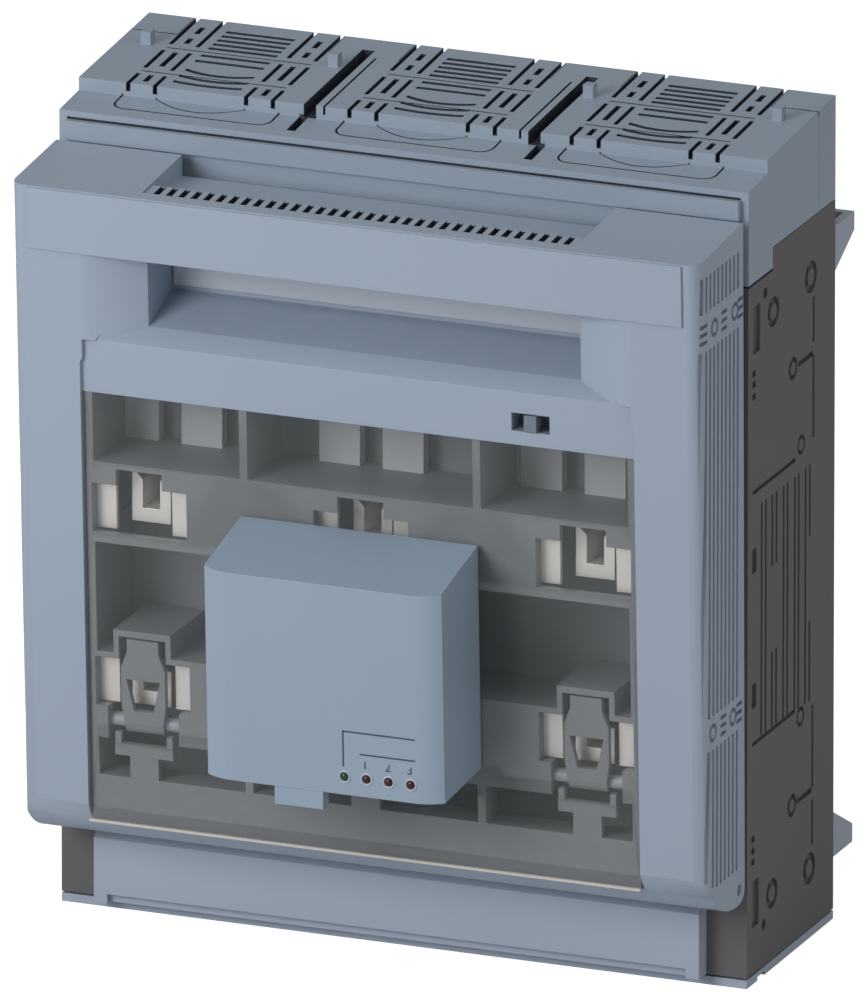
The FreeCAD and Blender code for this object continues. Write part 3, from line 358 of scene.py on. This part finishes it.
# %% [markdown]
# Mouldings like these are mostly outlines drawn out along one axis. A few vertices make one face, and an
# extrusion makes it a solid, which is less work than lists of all its faces. A drift lets the far end
# slide sideways, which suits the front plane, because it leans back.

# %% Drawn-out outlines and boxes
AXES = "xyz"


def add_prism(mesh, outline, axis, start, end, drift=(0.0, 0.0, 0.0)):
    """Adds a closed outline drawn out along one axis. Its points hold the other two coordinates."""
    order = AXES.index(axis)
    ring = []
    for pair in outline:
        point = list(pair)
        point.insert(order, start)
        ring.append(mesh.verts.new(place(*point)))
    made = bmesh.ops.extrude_face_region(mesh, geom=[mesh.faces.new(ring)])
    far = [item for item in made["geom"] if isinstance(item, bmesh.types.BMVert)]
    shift = Vector(drift)
    shift[order] += end - start
    bmesh.ops.translate(mesh, verts=far, vec=shift * MM)


def add_box(mesh, x0, x1, y0, y1, z0, z1):
    made = bmesh.ops.create_cube(mesh, size=1.0)["verts"]
    size = Vector((x1 - x0, y1 - y0, z1 - z0)) * MM
    bmesh.ops.scale(mesh, verts=made, vec=size)
    bmesh.ops.translate(mesh, verts=made, vec=place((x0 + x1) / 2, (y0 + y1) / 2, (z0 + z1) / 2))


# %% [markdown]
# Each finished piece is an object at the origin that rides on a body, takes its finish, and hides the
# solids it stands for.

# %% Pieces on their bodies
def new_object(name, mesh):
    bmesh.ops.recalc_face_normals(mesh, faces=mesh.faces)
    data = bpy.data.meshes.new(name)
    mesh.to_mesh(data)
    mesh.free()
    made = bpy.data.objects.new(name, data)
    bpy.context.scene.collection.objects.link(made)
    return made


def finished_piece(name, mesh, material, body, stands_for=(), shade=None):
    for face in mesh.faces:
        face.material_index = face.material_index if shade else 0
    made = new_object(name, mesh)
    made.data.materials.append(material)
    if shade:
        made.data.materials.append(shade)
    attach(made, body)
    if stands_for:
        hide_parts(*stands_for)
    return made


# %% [markdown]
# Slots are cut with the Boolean modifier. All cutters of a piece are one mesh, and the result is read back
# as a mesh of its own, so no modifier stays on the piece. Where a piece has a second material, the cut
# faces take it: a dark blue, the painted gap shade, that stands in for the shade inside slots and gaps.

# %% Cutting
def carved(mesh, cutters):
    for face in cutters.faces:
        face.material_index = 1
    body = new_object("carved_body", mesh)
    tool = new_object("carving_tool", cutters)
    for part in (body, tool):
        part.data.materials.append(COVER_BLUE)
        part.data.materials.append(PAINTED_GAP_SHADE)
    boolean = body.modifiers.new("cut", "BOOLEAN")
    boolean.operation = "DIFFERENCE"
    boolean.solver = "EXACT"
    boolean.use_self = True
    boolean.object = tool
    result = bmesh.new()
    result.from_object(body, bpy.context.evaluated_depsgraph_get())
    bpy.data.objects.remove(body)
    bpy.data.objects.remove(tool)
    return result


# %% [markdown]
# The top cover is a long louvred moulding over the upper terminals. Its deck climbs a little to the rear
# behind a low step, and a rim runs along its front. The louvres sit in three blocks, one over each pole,
# and each block reaches back through the separate rear strip. It is drawn out as one outline, and the
# blocks and the rim overlap it a hair, so that they join without a gap.

# %% Top cover: outline and blocks
HALF_WIDTH = 128.0
TOP = 300.0
POLES = (-82.5, 0.0, 82.5)
COVER_LOW = 255.0
REAR_TOP = 262.5
FRONT_EDGE_Z = 288.8
STEP_Y = 17.7
STEP_LOW = 290.6
STEP_HIGH = 295.3
SKIRT_Y = STEP_Y + 5
STRIP_Y = 66.0
BLOCK_HALF = 28.0
RIM_HALF = 125.0
RIM_FRONT = -2.3
RIM_LOW = 278.8
RIM_HIGH = 285.8
OVERLAP = 0.02
SEAM = 0.3


def deck_z(y):
    """Height of the sloping deck."""
    return STEP_HIGH + (TOP - STEP_HIGH) * (y - STEP_Y) / (BASE_DEPTH - STEP_Y)


cover = bmesh.new()
cover_outline = [(0, COVER_LOW), (0, FRONT_EDGE_Z), (STEP_Y, STEP_LOW), (STEP_Y, STEP_HIGH)]
cover_outline += [(STRIP_Y, deck_z(STRIP_Y)), (STRIP_Y, REAR_TOP)]
cover_outline += [(SKIRT_Y, REAR_TOP), (SKIRT_Y, COVER_LOW)]
add_prism(cover, cover_outline, "x", -HALF_WIDTH, HALF_WIDTH)
for x in POLES:
    block = [(STRIP_Y - OVERLAP, STEP_LOW), (STRIP_Y - OVERLAP, deck_z(STRIP_Y))]
    block += [(BASE_DEPTH, TOP), (BASE_DEPTH, STEP_LOW)]
    add_prism(cover, block, "x", x - BLOCK_HALF, x + BLOCK_HALF)
add_box(cover, -RIM_HALF, RIM_HALF, RIM_FRONT, OVERLAP, RIM_LOW, RIM_HIGH)
print("cover outline", len(cover_outline), "points and", len(POLES), "blocks")

# %% [markdown]
# A block has a middle panel with slots across it, straight ones at the rear and bowed ones in front, and
# two side strips with slots along it. Four grooves and two fine seams frame them. Each slot is one long
# cutter below the sloping deck.

# %% Top cover: louvres
SLOT = 2.0
PANEL_HALF = 17.0
FRAME_HALF = 27.0
SLOT_HALF = 12.8
STRAIGHT_ROWS = [72.7 - 4.0 * i for i in range(5)] + [49.7, 44.4]
BOWED_ROWS = ((35.6, 2.8), (29.8, 2.2), (24.2, 1.2))
SIDE_RUNS = ((68.0, 74.3), (58.4, 63.5), (35.7, 49.5), (20.8, 27.0))
GROOVE_RUNS = ((56.5, 83.0), (33.0, 50.5), (17.0, 27.5))
SEAM_ROWS = (53.0, 30.0)
SLOT_DEPTH = 9.0
GROOVE = 1.6
GROOVE_DEPTH = 3.0
SEAM_LINE = 0.7
SEAM_DEPTH = 1.0
OVER_TOP = TOP + 1


def cut_deck(tools, x0, x1, y0, y1, depth):
    outline = [(y0, deck_z(y0) - depth), (y1, deck_z(y1) - depth), (y1, OVER_TOP), (y0, OVER_TOP)]
    add_prism(tools, outline, "x", x0, x1)


def cut_bowed_slot(tools, x, y, bow, steps=8):
    shares = [2 * i / steps - 1 for i in range(steps + 1)]
    bend = [(x + SLOT_HALF * s, y - bow * (1 - s * s)) for s in shares]
    ring = [(px, py + SLOT / 2) for px, py in bend] + [(px, py - SLOT / 2) for px, py in reversed(bend)]
    add_prism(tools, ring, "z", deck_z(y) - SLOT_DEPTH, OVER_TOP)


def cut_louvres(tools, x):
    for y in STRAIGHT_ROWS:
        cut_deck(tools, x - SLOT_HALF, x + SLOT_HALF, y - SLOT / 2, y + SLOT / 2, SLOT_DEPTH)
    for y, bow in BOWED_ROWS:
        cut_bowed_slot(tools, x, y, bow)
    for side in (-1, 1):
        middle = x + side * (PANEL_HALF + FRAME_HALF) / 2
        for y0, y1 in SIDE_RUNS:
            cut_deck(tools, middle - SLOT / 2, middle + SLOT / 2, y0, y1, SLOT_DEPTH)
        for line in (x + side * PANEL_HALF, x + side * FRAME_HALF):
            for y0, y1 in GROOVE_RUNS:
                cut_deck(tools, line - GROOVE / 2, line + GROOVE / 2, y0, y1, GROOVE_DEPTH)
    for y in SEAM_ROWS:
        cut_deck(tools, x - FRAME_HALF, x + FRAME_HALF, y - SEAM_LINE / 2, y + SEAM_LINE / 2, SEAM_DEPTH)


# %% [markdown]
# A shallow line with round corners is scribed on the step before each block, with a flat arc inside it.
# Each is a ring between two outlines, one set in from the other, and is cut like the slots.

# %% Top cover: lines on the step
SCRIBED = 0.7
LINE_HALF = 29.5
LINE_FRONT = 6.5
LINE_CORNER = 5.0
ARC_HALF = 16.9
ARC_DEEP = 7.2
ARC_INSET = 0.6


def round_line(x, half, front, corner, steps=6):
    """Half a rounded outline round a pole, mirrored into a whole one."""
    points = [(x - half, STEP_Y + 0.1)]
    for i in range(steps + 1):
        turn = math.radians(90) * i / steps
        points.append((x - half + corner * (1 - math.cos(turn)), front + corner * (1 - math.sin(turn))))
    return points + [(2 * x - px, y) for px, y in reversed(points)]


def flat_arc(x, half, deep, steps=12):
    """An arc that leaves the step and comes back to it."""
    shares = [2 * i / steps - 1 for i in range(steps + 1)]
    return [(x + half * s, STEP_Y + 0.1 - deep * (1 - s * s)) for s in shares]


def scribe(tools, outer, inner):
    add_prism(tools, outer + inner[::-1], "z", FRONT_EDGE_Z - 0.5, STEP_LOW + 0.5)


cover_tools = bmesh.new()
for x in POLES:
    cut_louvres(cover_tools, x)
    outer = round_line(x, LINE_HALF, LINE_FRONT, LINE_CORNER)
    inner = round_line(x, LINE_HALF - SCRIBED, LINE_FRONT + SCRIBED, LINE_CORNER - SCRIBED)
    scribe(cover_tools, outer, inner)
    inner_arc = flat_arc(x, ARC_HALF - ARC_INSET, ARC_DEEP - SCRIBED)
    scribe(cover_tools, flat_arc(x, ARC_HALF, ARC_DEEP), inner_arc)
print("lines scribed", 2 * len(POLES))

# %% [markdown]
# Between the poles a deep channel runs back, with a slot on the step in front of it. A gap runs above the
# rim, a fine line marks where the rear strip meets the deck, and small pegs stand beside the outer blocks.
# The walls of these cuts, like those of the slots, are painted in the dark blue of the gap shade, which
# stands in for the shade inside them. All the cutters are taken off in one go, which is faster than one
# Boolean for each slot.

# %% Top cover: channels and pegs
CHANNELS = ((-44.0, -39.4), (39.4, 44.0))
CHANNEL_REAR = 72.0
JOINT_FROM = 110.6
STEP_SLOT_SHIFT = 2.3
STEP_SLOT_HALF = 1.6
STEP_SLOT_FRONT = 5.5
STEP_SLOT_LOW = 284.0
FINE_X = 36.4
FINE_HALF = 0.4
RIM_GAP = 0.8
PEG_OFF = 35.0
PEG_HALF = 1.9
PEG_Y0 = 53.0
PEG_Y1 = 57.0
PEG_TOP = TOP + 2.6

for x0, x1 in ((-HALF_WIDTH - 1, -JOINT_FROM), (JOINT_FROM, HALF_WIDTH + 1)):
    cut_deck(cover_tools, x0, x1, STRIP_Y - 0.7, STRIP_Y - 0.1, 1.5)
for x0, x1 in CHANNELS:
    add_box(cover_tools, x0, x1, STEP_Y - 1, CHANNEL_REAR, STEP_LOW, OVER_TOP)
    slot_x = (x0 + x1) / 2 + math.copysign(STEP_SLOT_SHIFT, x0)
    slot = (slot_x - STEP_SLOT_HALF, slot_x + STEP_SLOT_HALF, STEP_SLOT_FRONT, STEP_Y + 0.05)
    add_box(cover_tools, *slot, STEP_SLOT_LOW, STEP_LOW + 1)
    fine = math.copysign(FINE_X, x0)
    cut_deck(cover_tools, fine - FINE_HALF, fine + FINE_HALF, STEP_Y - 1, STRIP_Y, GROOVE_DEPTH)
add_box(cover_tools, -RIM_HALF, RIM_HALF, -1.0, 0.8, RIM_HIGH, RIM_HIGH + RIM_GAP)
cover = carved(cover, cover_tools)
for x in (POLES[0], POLES[2]):
    for side in (-1, 1):
        peg = x + side * PEG_OFF
        add_box(cover, peg - PEG_HALF, peg + PEG_HALF, PEG_Y0, PEG_Y1, deck_z(PEG_Y0) - 1, PEG_TOP)
cover_piece = finished_piece(
    "louvred_top_cover", cover, COVER_BLUE, "base", ["top_cover"], PAINTED_GAP_SHADE
)
print("top cover faces", len(cover_piece.data.polygons))

# %% [markdown]
# The rear strip closes the cover behind the deck. It is a solid of its own, so it stays a piece of its
# own. It is recessed for the three blocks and the channels, with a fine gap round each block.

# %% Rear strip
strip = bmesh.new()
strip_front = STRIP_Y + SEAM
strip_outline = [(strip_front, REAR_TOP), (strip_front, deck_z(STRIP_Y))]
strip_outline += [(BASE_DEPTH, TOP), (BASE_DEPTH, REAR_TOP)]
add_prism(strip, strip_outline, "x", -HALF_WIDTH, HALF_WIDTH)
strip_tools = bmesh.new()
for x in POLES:
    half = BLOCK_HALF + SEAM
    add_box(strip_tools, x - half, x + half, STRIP_Y - 1, BASE_DEPTH + 1, STEP_LOW - SEAM, OVER_TOP)
for x0, x1 in CHANNELS:
    add_box(strip_tools, x0, x1, STRIP_Y - 1, CHANNEL_REAR, STEP_LOW, OVER_TOP)
strip = carved(strip, strip_tools)
strip_piece = finished_piece(
    "rear_cover_strip", strip, COVER_BLUE, "base", ["top_cover_strip"], PAINTED_GAP_SHADE
)
print("rear strip faces", len(strip_piece.data.polygons))

# %% [markdown]
# Behind the top bar of the carrier a comb lets warm air out. Its teeth stand almost level with the bar and
# end at a low rail, a step above the trough. The teeth could be carved too. Here they are laid over the
# ledge of the solid, whose deep slots lie between them. Their side walls and the rail's front are painted
# in the dark blue of the gap shade, which stands in for the shade deep between the teeth.

# %% Comb of the carrier
LEAN = 0.0425
BAR_TOP_Z = 275.8
BAR_FRONT_Y = -46.1
COMB_FRONT = -40.6
COMB_REAR = -31.4
COMB_PITCH = 4.6
COMB_SLOTS = 34
COMB_HALF = 80.4
COMB_GAP = 2.3
BAR_RISE = 3.3
BAR_REACH = 42.1
LEDGE_FRONT_Z = 274.1
LEDGE_REAR_Z = 272.4
TOOTH_DROP = 0.7
RAIL_DROP = 1.0


def bar_top(y):
    """Height of the carrier's sloping top."""
    return BAR_TOP_Z + BAR_RISE * (y - BAR_FRONT_Y) / BAR_REACH


def tooth_outline(y0, y1):
    top = [(y0, bar_top(y0) - TOOTH_DROP), (y1, bar_top(y1) - TOOTH_DROP)]
    return [(y0, LEDGE_FRONT_Z)] + top + [(y1, LEDGE_REAR_Z)]


comb = bmesh.new()
add_prism(comb, tooth_outline(COMB_FRONT, COMB_FRONT + 0.6), "x", -COMB_HALF, COMB_HALF)
slots = [COMB_PITCH * (i - (COMB_SLOTS - 1) / 2) for i in range(COMB_SLOTS)]
edges = [side for x in slots for side in (x - COMB_GAP / 2, x + COMB_GAP / 2)]
edges = [-COMB_HALF] + edges + [COMB_HALF]
for left, right in zip(edges[0::2], edges[1::2]):
    add_prism(comb, tooth_outline(COMB_FRONT + 0.5, COMB_REAR), "x", left, right)
rail = (COMB_REAR - 0.7, COMB_REAR - 0.1, LEDGE_REAR_Z + 0.1, bar_top(COMB_REAR) - RAIL_DROP)
add_box(comb, -COMB_HALF, COMB_HALF, *rail)
bmesh.ops.recalc_face_normals(comb, faces=comb.faces)
rail_start = place(0.0, COMB_FRONT + 2, 0.0).y
for face in comb.faces:
    rail_front = face.normal.y < -0.9 and face.calc_center_median().y > rail_start
    face.material_index = int(abs(face.normal.x) > 0.9 or rail_front)
finished_piece("comb_behind_top_bar", comb, CARRIER_BLUE, "fuse_carrier", (), PAINTED_GAP_SHADE)
print("comb teeth", len(edges) // 2)

# %% [markdown]
# Beside the grip the columns of the carrier fall back in a shallow scoop, and the lower bar runs straight
# across below it. Both are cut into a copy of the solid, so that all else on the carrier stays as packed.
# The scoops go down to the sloping sill, and the bar's set-back face reaches as far as its square ends.

# %% Carrier: cutters for the scoops
SCOOP_EDGE = 101.8
SCOOP_INNER = 80.0
SCOOP_DEEP = 8.6
SCOOP_STEPS = 14
SCOOP_CURVE = 1.4
SCOOP_LOW = 215.0
SCOOP_TOP = 252.9
BEFORE = 8.0
BAR_SET_BACK = 1.6
BAR_EDGE = 221.4
BAR_LOW = 200.0
SILL = [(-62, BAR_LOW), (-62, 206.9), (-42.19, BAR_EDGE), (-35.5, 226.3), (-20, 231.8), (-20, BAR_LOW)]


def front_y(z):
    """Front plane of the carrier at a height."""
    return BAR_FRONT_Y + LEAN * (BAR_TOP_Z - z)


def scoop_outline(side, y0):
    """The scoop from above: it leaves the front plane gently and is deepest at the grip."""
    points = [(side * SCOOP_EDGE, y0 - BEFORE)]
    for i in range(SCOOP_STEPS + 1):
        share = i / SCOOP_STEPS
        across = SCOOP_EDGE + (SCOOP_INNER - SCOOP_EDGE) * share
        points.append((side * across, y0 + SCOOP_DEEP * share ** SCOOP_CURVE))
    inner = side * (SCOOP_INNER - 1)
    return points + [(inner, y0 + SCOOP_DEEP), (inner, y0 - BEFORE)]


scoops = bmesh.new()
lean_back = (0.0, front_y(SCOOP_TOP) - front_y(SCOOP_LOW), 0.0)
for side in (-1, 1):
    add_prism(scoops, scoop_outline(side, front_y(SCOOP_LOW)), "z", SCOOP_LOW, SCOOP_TOP, lean_back)
below = bmesh.new()
add_prism(below, SILL, "x", -112.0, 112.0)
scoops = carved(scoops, below)
bar_high = BAR_EDGE + 0.01
bar_end = [(front_y(BAR_LOW) - BEFORE, BAR_LOW), (front_y(BAR_EDGE) - BEFORE, bar_high)]
bar_end += [(front_y(BAR_EDGE) + BAR_SET_BACK, bar_high), (front_y(BAR_LOW) + BAR_SET_BACK, BAR_LOW)]
for side in (-1, 1):
    add_prism(scoops, bar_end, "x", side * (SCOOP_INNER - 1), side * SCOOP_EDGE)
print("scoop cutters", len(scoops.faces), "faces")

# %% [markdown]
# The copy of the solid is merged first, because a imported mesh is loose triangles. After the cut its faces
# get their finish by place: those inside the comb's box that don't look up are the walls of the slots, and
# they are painted in the dark blue of the gap shade, which stands in for the shade inside them.

# %% Carrier: cut and finished
carrier = bmesh.new()
carrier.from_mesh(nodes["carrier_frame"].data)
bmesh.ops.remove_doubles(carrier, verts=carrier.verts, dist=0.001 * MM)
carrier = carved(carrier, scoops)
comb_low = place(-COMB_HALF, COMB_FRONT, 250.0)
comb_high = place(COMB_HALF, COMB_REAR + 0.1, BAR_TOP_Z - 0.4)
carrier.normal_update()
for face in carrier.faces:
    middle = face.calc_center_median()
    inside = all(comb_low[i] < middle[i] < comb_high[i] for i in range(3))
    face.material_index = int(inside and abs(face.normal.z) < 0.8)
dark_faces = sum(face.material_index for face in carrier.faces)
finished_piece(
    "scooped_carrier", carrier, CARRIER_BLUE, "fuse_carrier", ["carrier_frame"], PAINTED_GAP_SHADE
)
print("shaded faces in the comb", dark_faces)

# %% [markdown]
# The fuse monitor is a box with a gently crowned front: flat in the middle, and falling back along an arc
# near both sides. The outline is drawn out along X, and two leaning cutters take the crown off. A bevel
# would be shorter to write, but its arc would be as deep as it is wide. A small tab hangs from the lower
# edge.

# %% Monitor housing
MONITOR_HALF = 44.0
MONITOR_LOW = 79.0
MONITOR_TOP = 155.3
MONITOR_OUT = 36.2
MONITOR_FOOT_LOW = 81.7
MONITOR_FOOT_TOP = 163.5
MONITOR_SUNK = 0.8
CROWN_WIDE = 10.0
CROWN_DEEP = 3.2
TAB_X0 = -18.0
TAB_X1 = 0.0
TAB_DEEP = 5.3
TAB_DROP = 6.5


def monitor_y(z):
    """Front plane of the monitor at a height."""
    return front_y(z) - MONITOR_OUT


def crown_outline(side, y0, steps=8):
    radius = (CROWN_WIDE ** 2 + CROWN_DEEP ** 2) / (2 * CROWN_DEEP)
    points = []
    for i in range(steps + 1):
        across = CROWN_WIDE * i / steps
        fall = radius - math.sqrt(radius ** 2 - across ** 2)
        points.append((side * (MONITOR_HALF - CROWN_WIDE + across), y0 + fall))
    far = side * (MONITOR_HALF + 5)
    return points + [(far, y0 + CROWN_DEEP), (far, y0 - 5), (points[0][0], y0 - 5)]


monitor = bmesh.new()
monitor_outline = [(front_y(MONITOR_FOOT_TOP) + MONITOR_SUNK, MONITOR_FOOT_TOP)]
monitor_outline += [(monitor_y(MONITOR_TOP), MONITOR_TOP), (monitor_y(MONITOR_LOW), MONITOR_LOW)]
monitor_outline += [(front_y(MONITOR_FOOT_LOW) + MONITOR_SUNK, MONITOR_FOOT_LOW)]
add_prism(monitor, monitor_outline, "x", -MONITOR_HALF, MONITOR_HALF)
crown_tools = bmesh.new()
z0 = MONITOR_LOW - 10
z1 = MONITOR_TOP + 10
crown_drift = (0.0, monitor_y(z1) - monitor_y(z0), 0.0)
for side in (-1, 1):
    add_prism(crown_tools, crown_outline(side, monitor_y(z0)), "z", z0, z1, crown_drift)
monitor = carved(monitor, crown_tools)
tab_y = monitor_y(MONITOR_LOW)
add_box(monitor, TAB_X0, TAB_X1, tab_y + 0.1, tab_y + TAB_DEEP, MONITOR_LOW - TAB_DROP, MONITOR_LOW + 0.5)
finished_piece(
    "crowned_monitor", monitor, MONITOR_BLUE, "fuse_carrier", ["monitor_housing"]
)
print("monitor front at", round(tab_y, 1), "mm")

# %% [markdown]
# Each status lamp is a small dome in a pale rim. Squashed spheres would do for the domes, but a short
# profile spun round the lamp's axis gives the dome and its rim the same round edge.

# %% Lamps
LAMP_Z = 85.7
LAMPS = [8.1 + 8.2 * i for i in range(4)]
DOME_PROFILE = [(0.0, -0.9), (0.8, -0.75), (1.4, -0.35), (1.6, 0.1), (1.6, 1.0)]
RIM_PROFILE = [(1.6, 0.3), (1.65, -0.25), (2.0, -0.4), (2.35, -0.2), (2.4, 0.3)]
LAMP_STEPS = 24


def spun(profile, x, z):
    """A profile of (radius, depth) pairs spun round the lamp's axis."""
    mesh = bmesh.new()
    y0 = monitor_y(z)
    points = [mesh.verts.new(place(x + radius, y0 + depth, z)) for radius, depth in profile]
    lines = [mesh.edges.new(pair) for pair in zip(points, points[1:])]
    spin = {"cent": place(x, y0, z), "axis": (0, 1, 0), "dvec": (0, 0, 0), "angle": 2 * math.pi}
    bmesh.ops.spin(mesh, geom=points + lines, steps=LAMP_STEPS, use_merge=True, use_duplicate=False, **spin)
    bmesh.ops.remove_doubles(mesh, verts=mesh.verts, dist=0.01 * MM)
    return mesh


for number, x in enumerate(LAMPS, 1):
    lens = LAMP_GREEN if number == 1 else LAMP_RED
    slot = "lamp_green" if number == 1 else "lamp_red"
    solid = "status_lamp_%d" % number
    dome_mesh = spun(DOME_PROFILE, x, LAMP_Z)
    dome = finished_piece("lamp_dome_%d" % number, dome_mesh, lens, "fuse_carrier", [solid])
    rim_mesh = spun(RIM_PROFILE, x, LAMP_Z)
    finished_piece("lamp_rim_%d" % number, rim_mesh, RIM_PALE, "fuse_carrier")
    for face in dome.data.polygons:
        face.use_smooth = True
print("lamps", len(LAMPS))

# %% [markdown]
# Thin printed lines lead to the lamps, with plain digits between them. A print could be painted into the
# material, but thin meshes keep sharp edges at any distance. They stand a tenth of a millimetre proud of
# the front.

# %% Printed lines and digits
PRINT = 0.1
LINES = ((7.5, 8.05, 89.4, 102.6), (7.5, 34.5, 102.1, 102.65), (13.9, 34.5, 94.3, 94.85))
DIGITS = (("1", 15.8), ("2", 24.3), ("3", 32.5))
DIGIT_Z = 90.9
DIGIT_HIGH = 3.3
FONT_FACTOR = 1.4

marks = bmesh.new()
for x0, x1, z0, z1 in LINES:
    sheet = [(monitor_y(z0) - PRINT, z0), (monitor_y(z1) - PRINT, z1)]
    sheet += [(monitor_y(z1), z1), (monitor_y(z0), z0)]
    add_prism(marks, sheet, "x", x0, x1)
finished_piece("printed_lines", marks, INK, "fuse_carrier")


def digit(text, x, z, height):
    """A plain digit as a thin mesh on the leaning front."""
    curve = bpy.data.curves.new("digit", "FONT")
    curve.body = text
    curve.size = height * FONT_FACTOR * MM
    curve.align_x = "CENTER"
    curve.align_y = "CENTER"
    curve.extrude = PRINT / 2 * MM
    holder = bpy.data.objects.new("digit", curve)
    bpy.context.scene.collection.objects.link(holder)
    shown = holder.evaluated_get(bpy.context.evaluated_depsgraph_get())
    flat = bpy.data.meshes.new_from_object(shown)
    bpy.data.objects.remove(holder)
    turn = Matrix.Rotation(math.radians(90) - math.atan(LEAN), 4, "X")
    flat.transform(Matrix.Translation(place(x, monitor_y(z) - PRINT / 2, z)) @ turn)
    mesh = bmesh.new()
    mesh.from_mesh(flat)
    return finished_piece("digit_%s" % text, mesh, INK, "fuse_carrier")


for text, x in DIGITS:
    digit(text, x, DIGIT_Z, DIGIT_HIGH)
print("digits in place")

# %% [markdown]
# The inner frame behind the window keeps its imported shape, except for its upper pillars. A merged copy of
# the solid loses the thin tabs there, and a top rail and the cheeks of the latch brackets are added. Six
# pillars stand in place of the tabs, in a paler grey that paints in light their deep place behind the
# window doesn't get.

# %% Inner frame with its pillars
PILLAR_STARTS = (-82.5, -7.5, 67.5)
PILLAR_OFF = 11.8
PILLAR_HALF = 7.6
PILLAR_Y0 = -10.6
PILLAR_Y1 = -6.0
CHEEK_OFF = 9.6
CHEEK_HALF = 1.1

inner = bmesh.new()
inner.from_mesh(nodes["inner_frame"].data)
bmesh.ops.remove_doubles(inner, verts=inner.verts, dist=0.001 * MM)
tab_tools = bmesh.new()
for x0, x1 in ((-99.3, -44.75), (-41.85, 41.85), (44.75, 99.3)):
    add_box(tab_tools, x0, x1, -24.0, -19.5, 178.0, 203.0)
inner = carved(inner, tab_tools)
pillars = bmesh.new()
for start in PILLAR_STARTS:
    for side in (-1, 1):
        middle = start + side * PILLAR_OFF
        add_box(pillars, middle - PILLAR_HALF, middle + PILLAR_HALF, PILLAR_Y0, PILLAR_Y1, 176.0, 201.9)
finished_piece("upper_pillars", pillars, PILLAR_PAINTED_LIGHT, "fuse_carrier")
add_box(inner, -102.0, 102.0, PILLAR_Y0, PILLAR_Y1, 198.5, 201.8)
bracket_y = front_y(75)
for x in POLES:
    for side in (-1, 1):
        cheek = x + side * CHEEK_OFF
        add_box(inner, cheek - CHEEK_HALF, cheek + CHEEK_HALF, bracket_y + 2.4, bracket_y + 4.9, 73.0, 77.4)
finished_piece(
    "inner_frame_with_pillars", inner, GREY_MOULDING, "fuse_carrier", ["inner_frame"]
)
print("pillars 6")

# %% [markdown]
# A narrow lip closes the lower edge of the window. It is seen only as a line of light, so a thin bar in a
# pale colour is enough, and that colour paints the highlight along its curve.

# %% Window lip
lip = bmesh.new()
lip_y = front_y(44.0)
add_box(lip, -102.6, 102.6, lip_y - 0.2, lip_y + 0.8, 43.85, 44.75)
finished_piece("window_lip", lip, LIP_PAINTED_HIGHLIGHT, "fuse_carrier")
print("window lip at", round(lip_y, 1), "mm")

# %% [markdown]
# The floor is a plain pale sheet. What the lens and the clear plastic see of it is close to white, and it
# still takes the object's soft shadow.

# %% Floor
FLOOR_SIZE = 40.0
floor_mesh = bpy.data.meshes.new("floor")
sheet = bmesh.new()
bmesh.ops.create_grid(sheet, x_segments=1, y_segments=1, size=FLOOR_SIZE / 2)
bmesh.ops.translate(sheet, verts=sheet.verts, vec=Vector((0, 0, cad_low.z)))
sheet.to_mesh(floor_mesh)
sheet.free()
floor = bpy.data.objects.new("floor", floor_mesh)
bpy.context.scene.collection.objects.link(floor)
FLOOR_WHITE = bpy.data.materials.new("floor_white")
FLOOR_WHITE.use_nodes = True
floor_tree = FLOOR_WHITE.node_tree
floor_shader = floor_tree.nodes["Principled BSDF"]
floor_shader.inputs["Base Color"].default_value = (0.8, 0.8, 0.8, 1.0)
floor_shader.inputs["Roughness"].default_value = 0.9
floor_shader.inputs["Emission Color"].default_value = (1.0, 1.0, 1.0, 1.0)
floor_path = floor_tree.nodes.new("ShaderNodeLightPath")
floor_seen = floor_tree.nodes.new("ShaderNodeMath")
floor_seen.operation = "MAXIMUM"
floor_tree.links.new(floor_path.outputs["Is Camera Ray"], floor_seen.inputs[0])
floor_tree.links.new(floor_path.outputs["Is Transmission Ray"], floor_seen.inputs[1])
floor_glow = floor_tree.nodes.new("ShaderNodeMath")
floor_glow.operation = "MULTIPLY"
floor_glow.inputs[1].default_value = 0.8
floor_tree.links.new(floor_seen.outputs[0], floor_glow.inputs[0])
floor_tree.links.new(floor_glow.outputs[0], floor_shader.inputs["Emission Strength"])
floor_mesh.materials.append(FLOOR_WHITE)
print("floor", FLOOR_SIZE, "m wide")
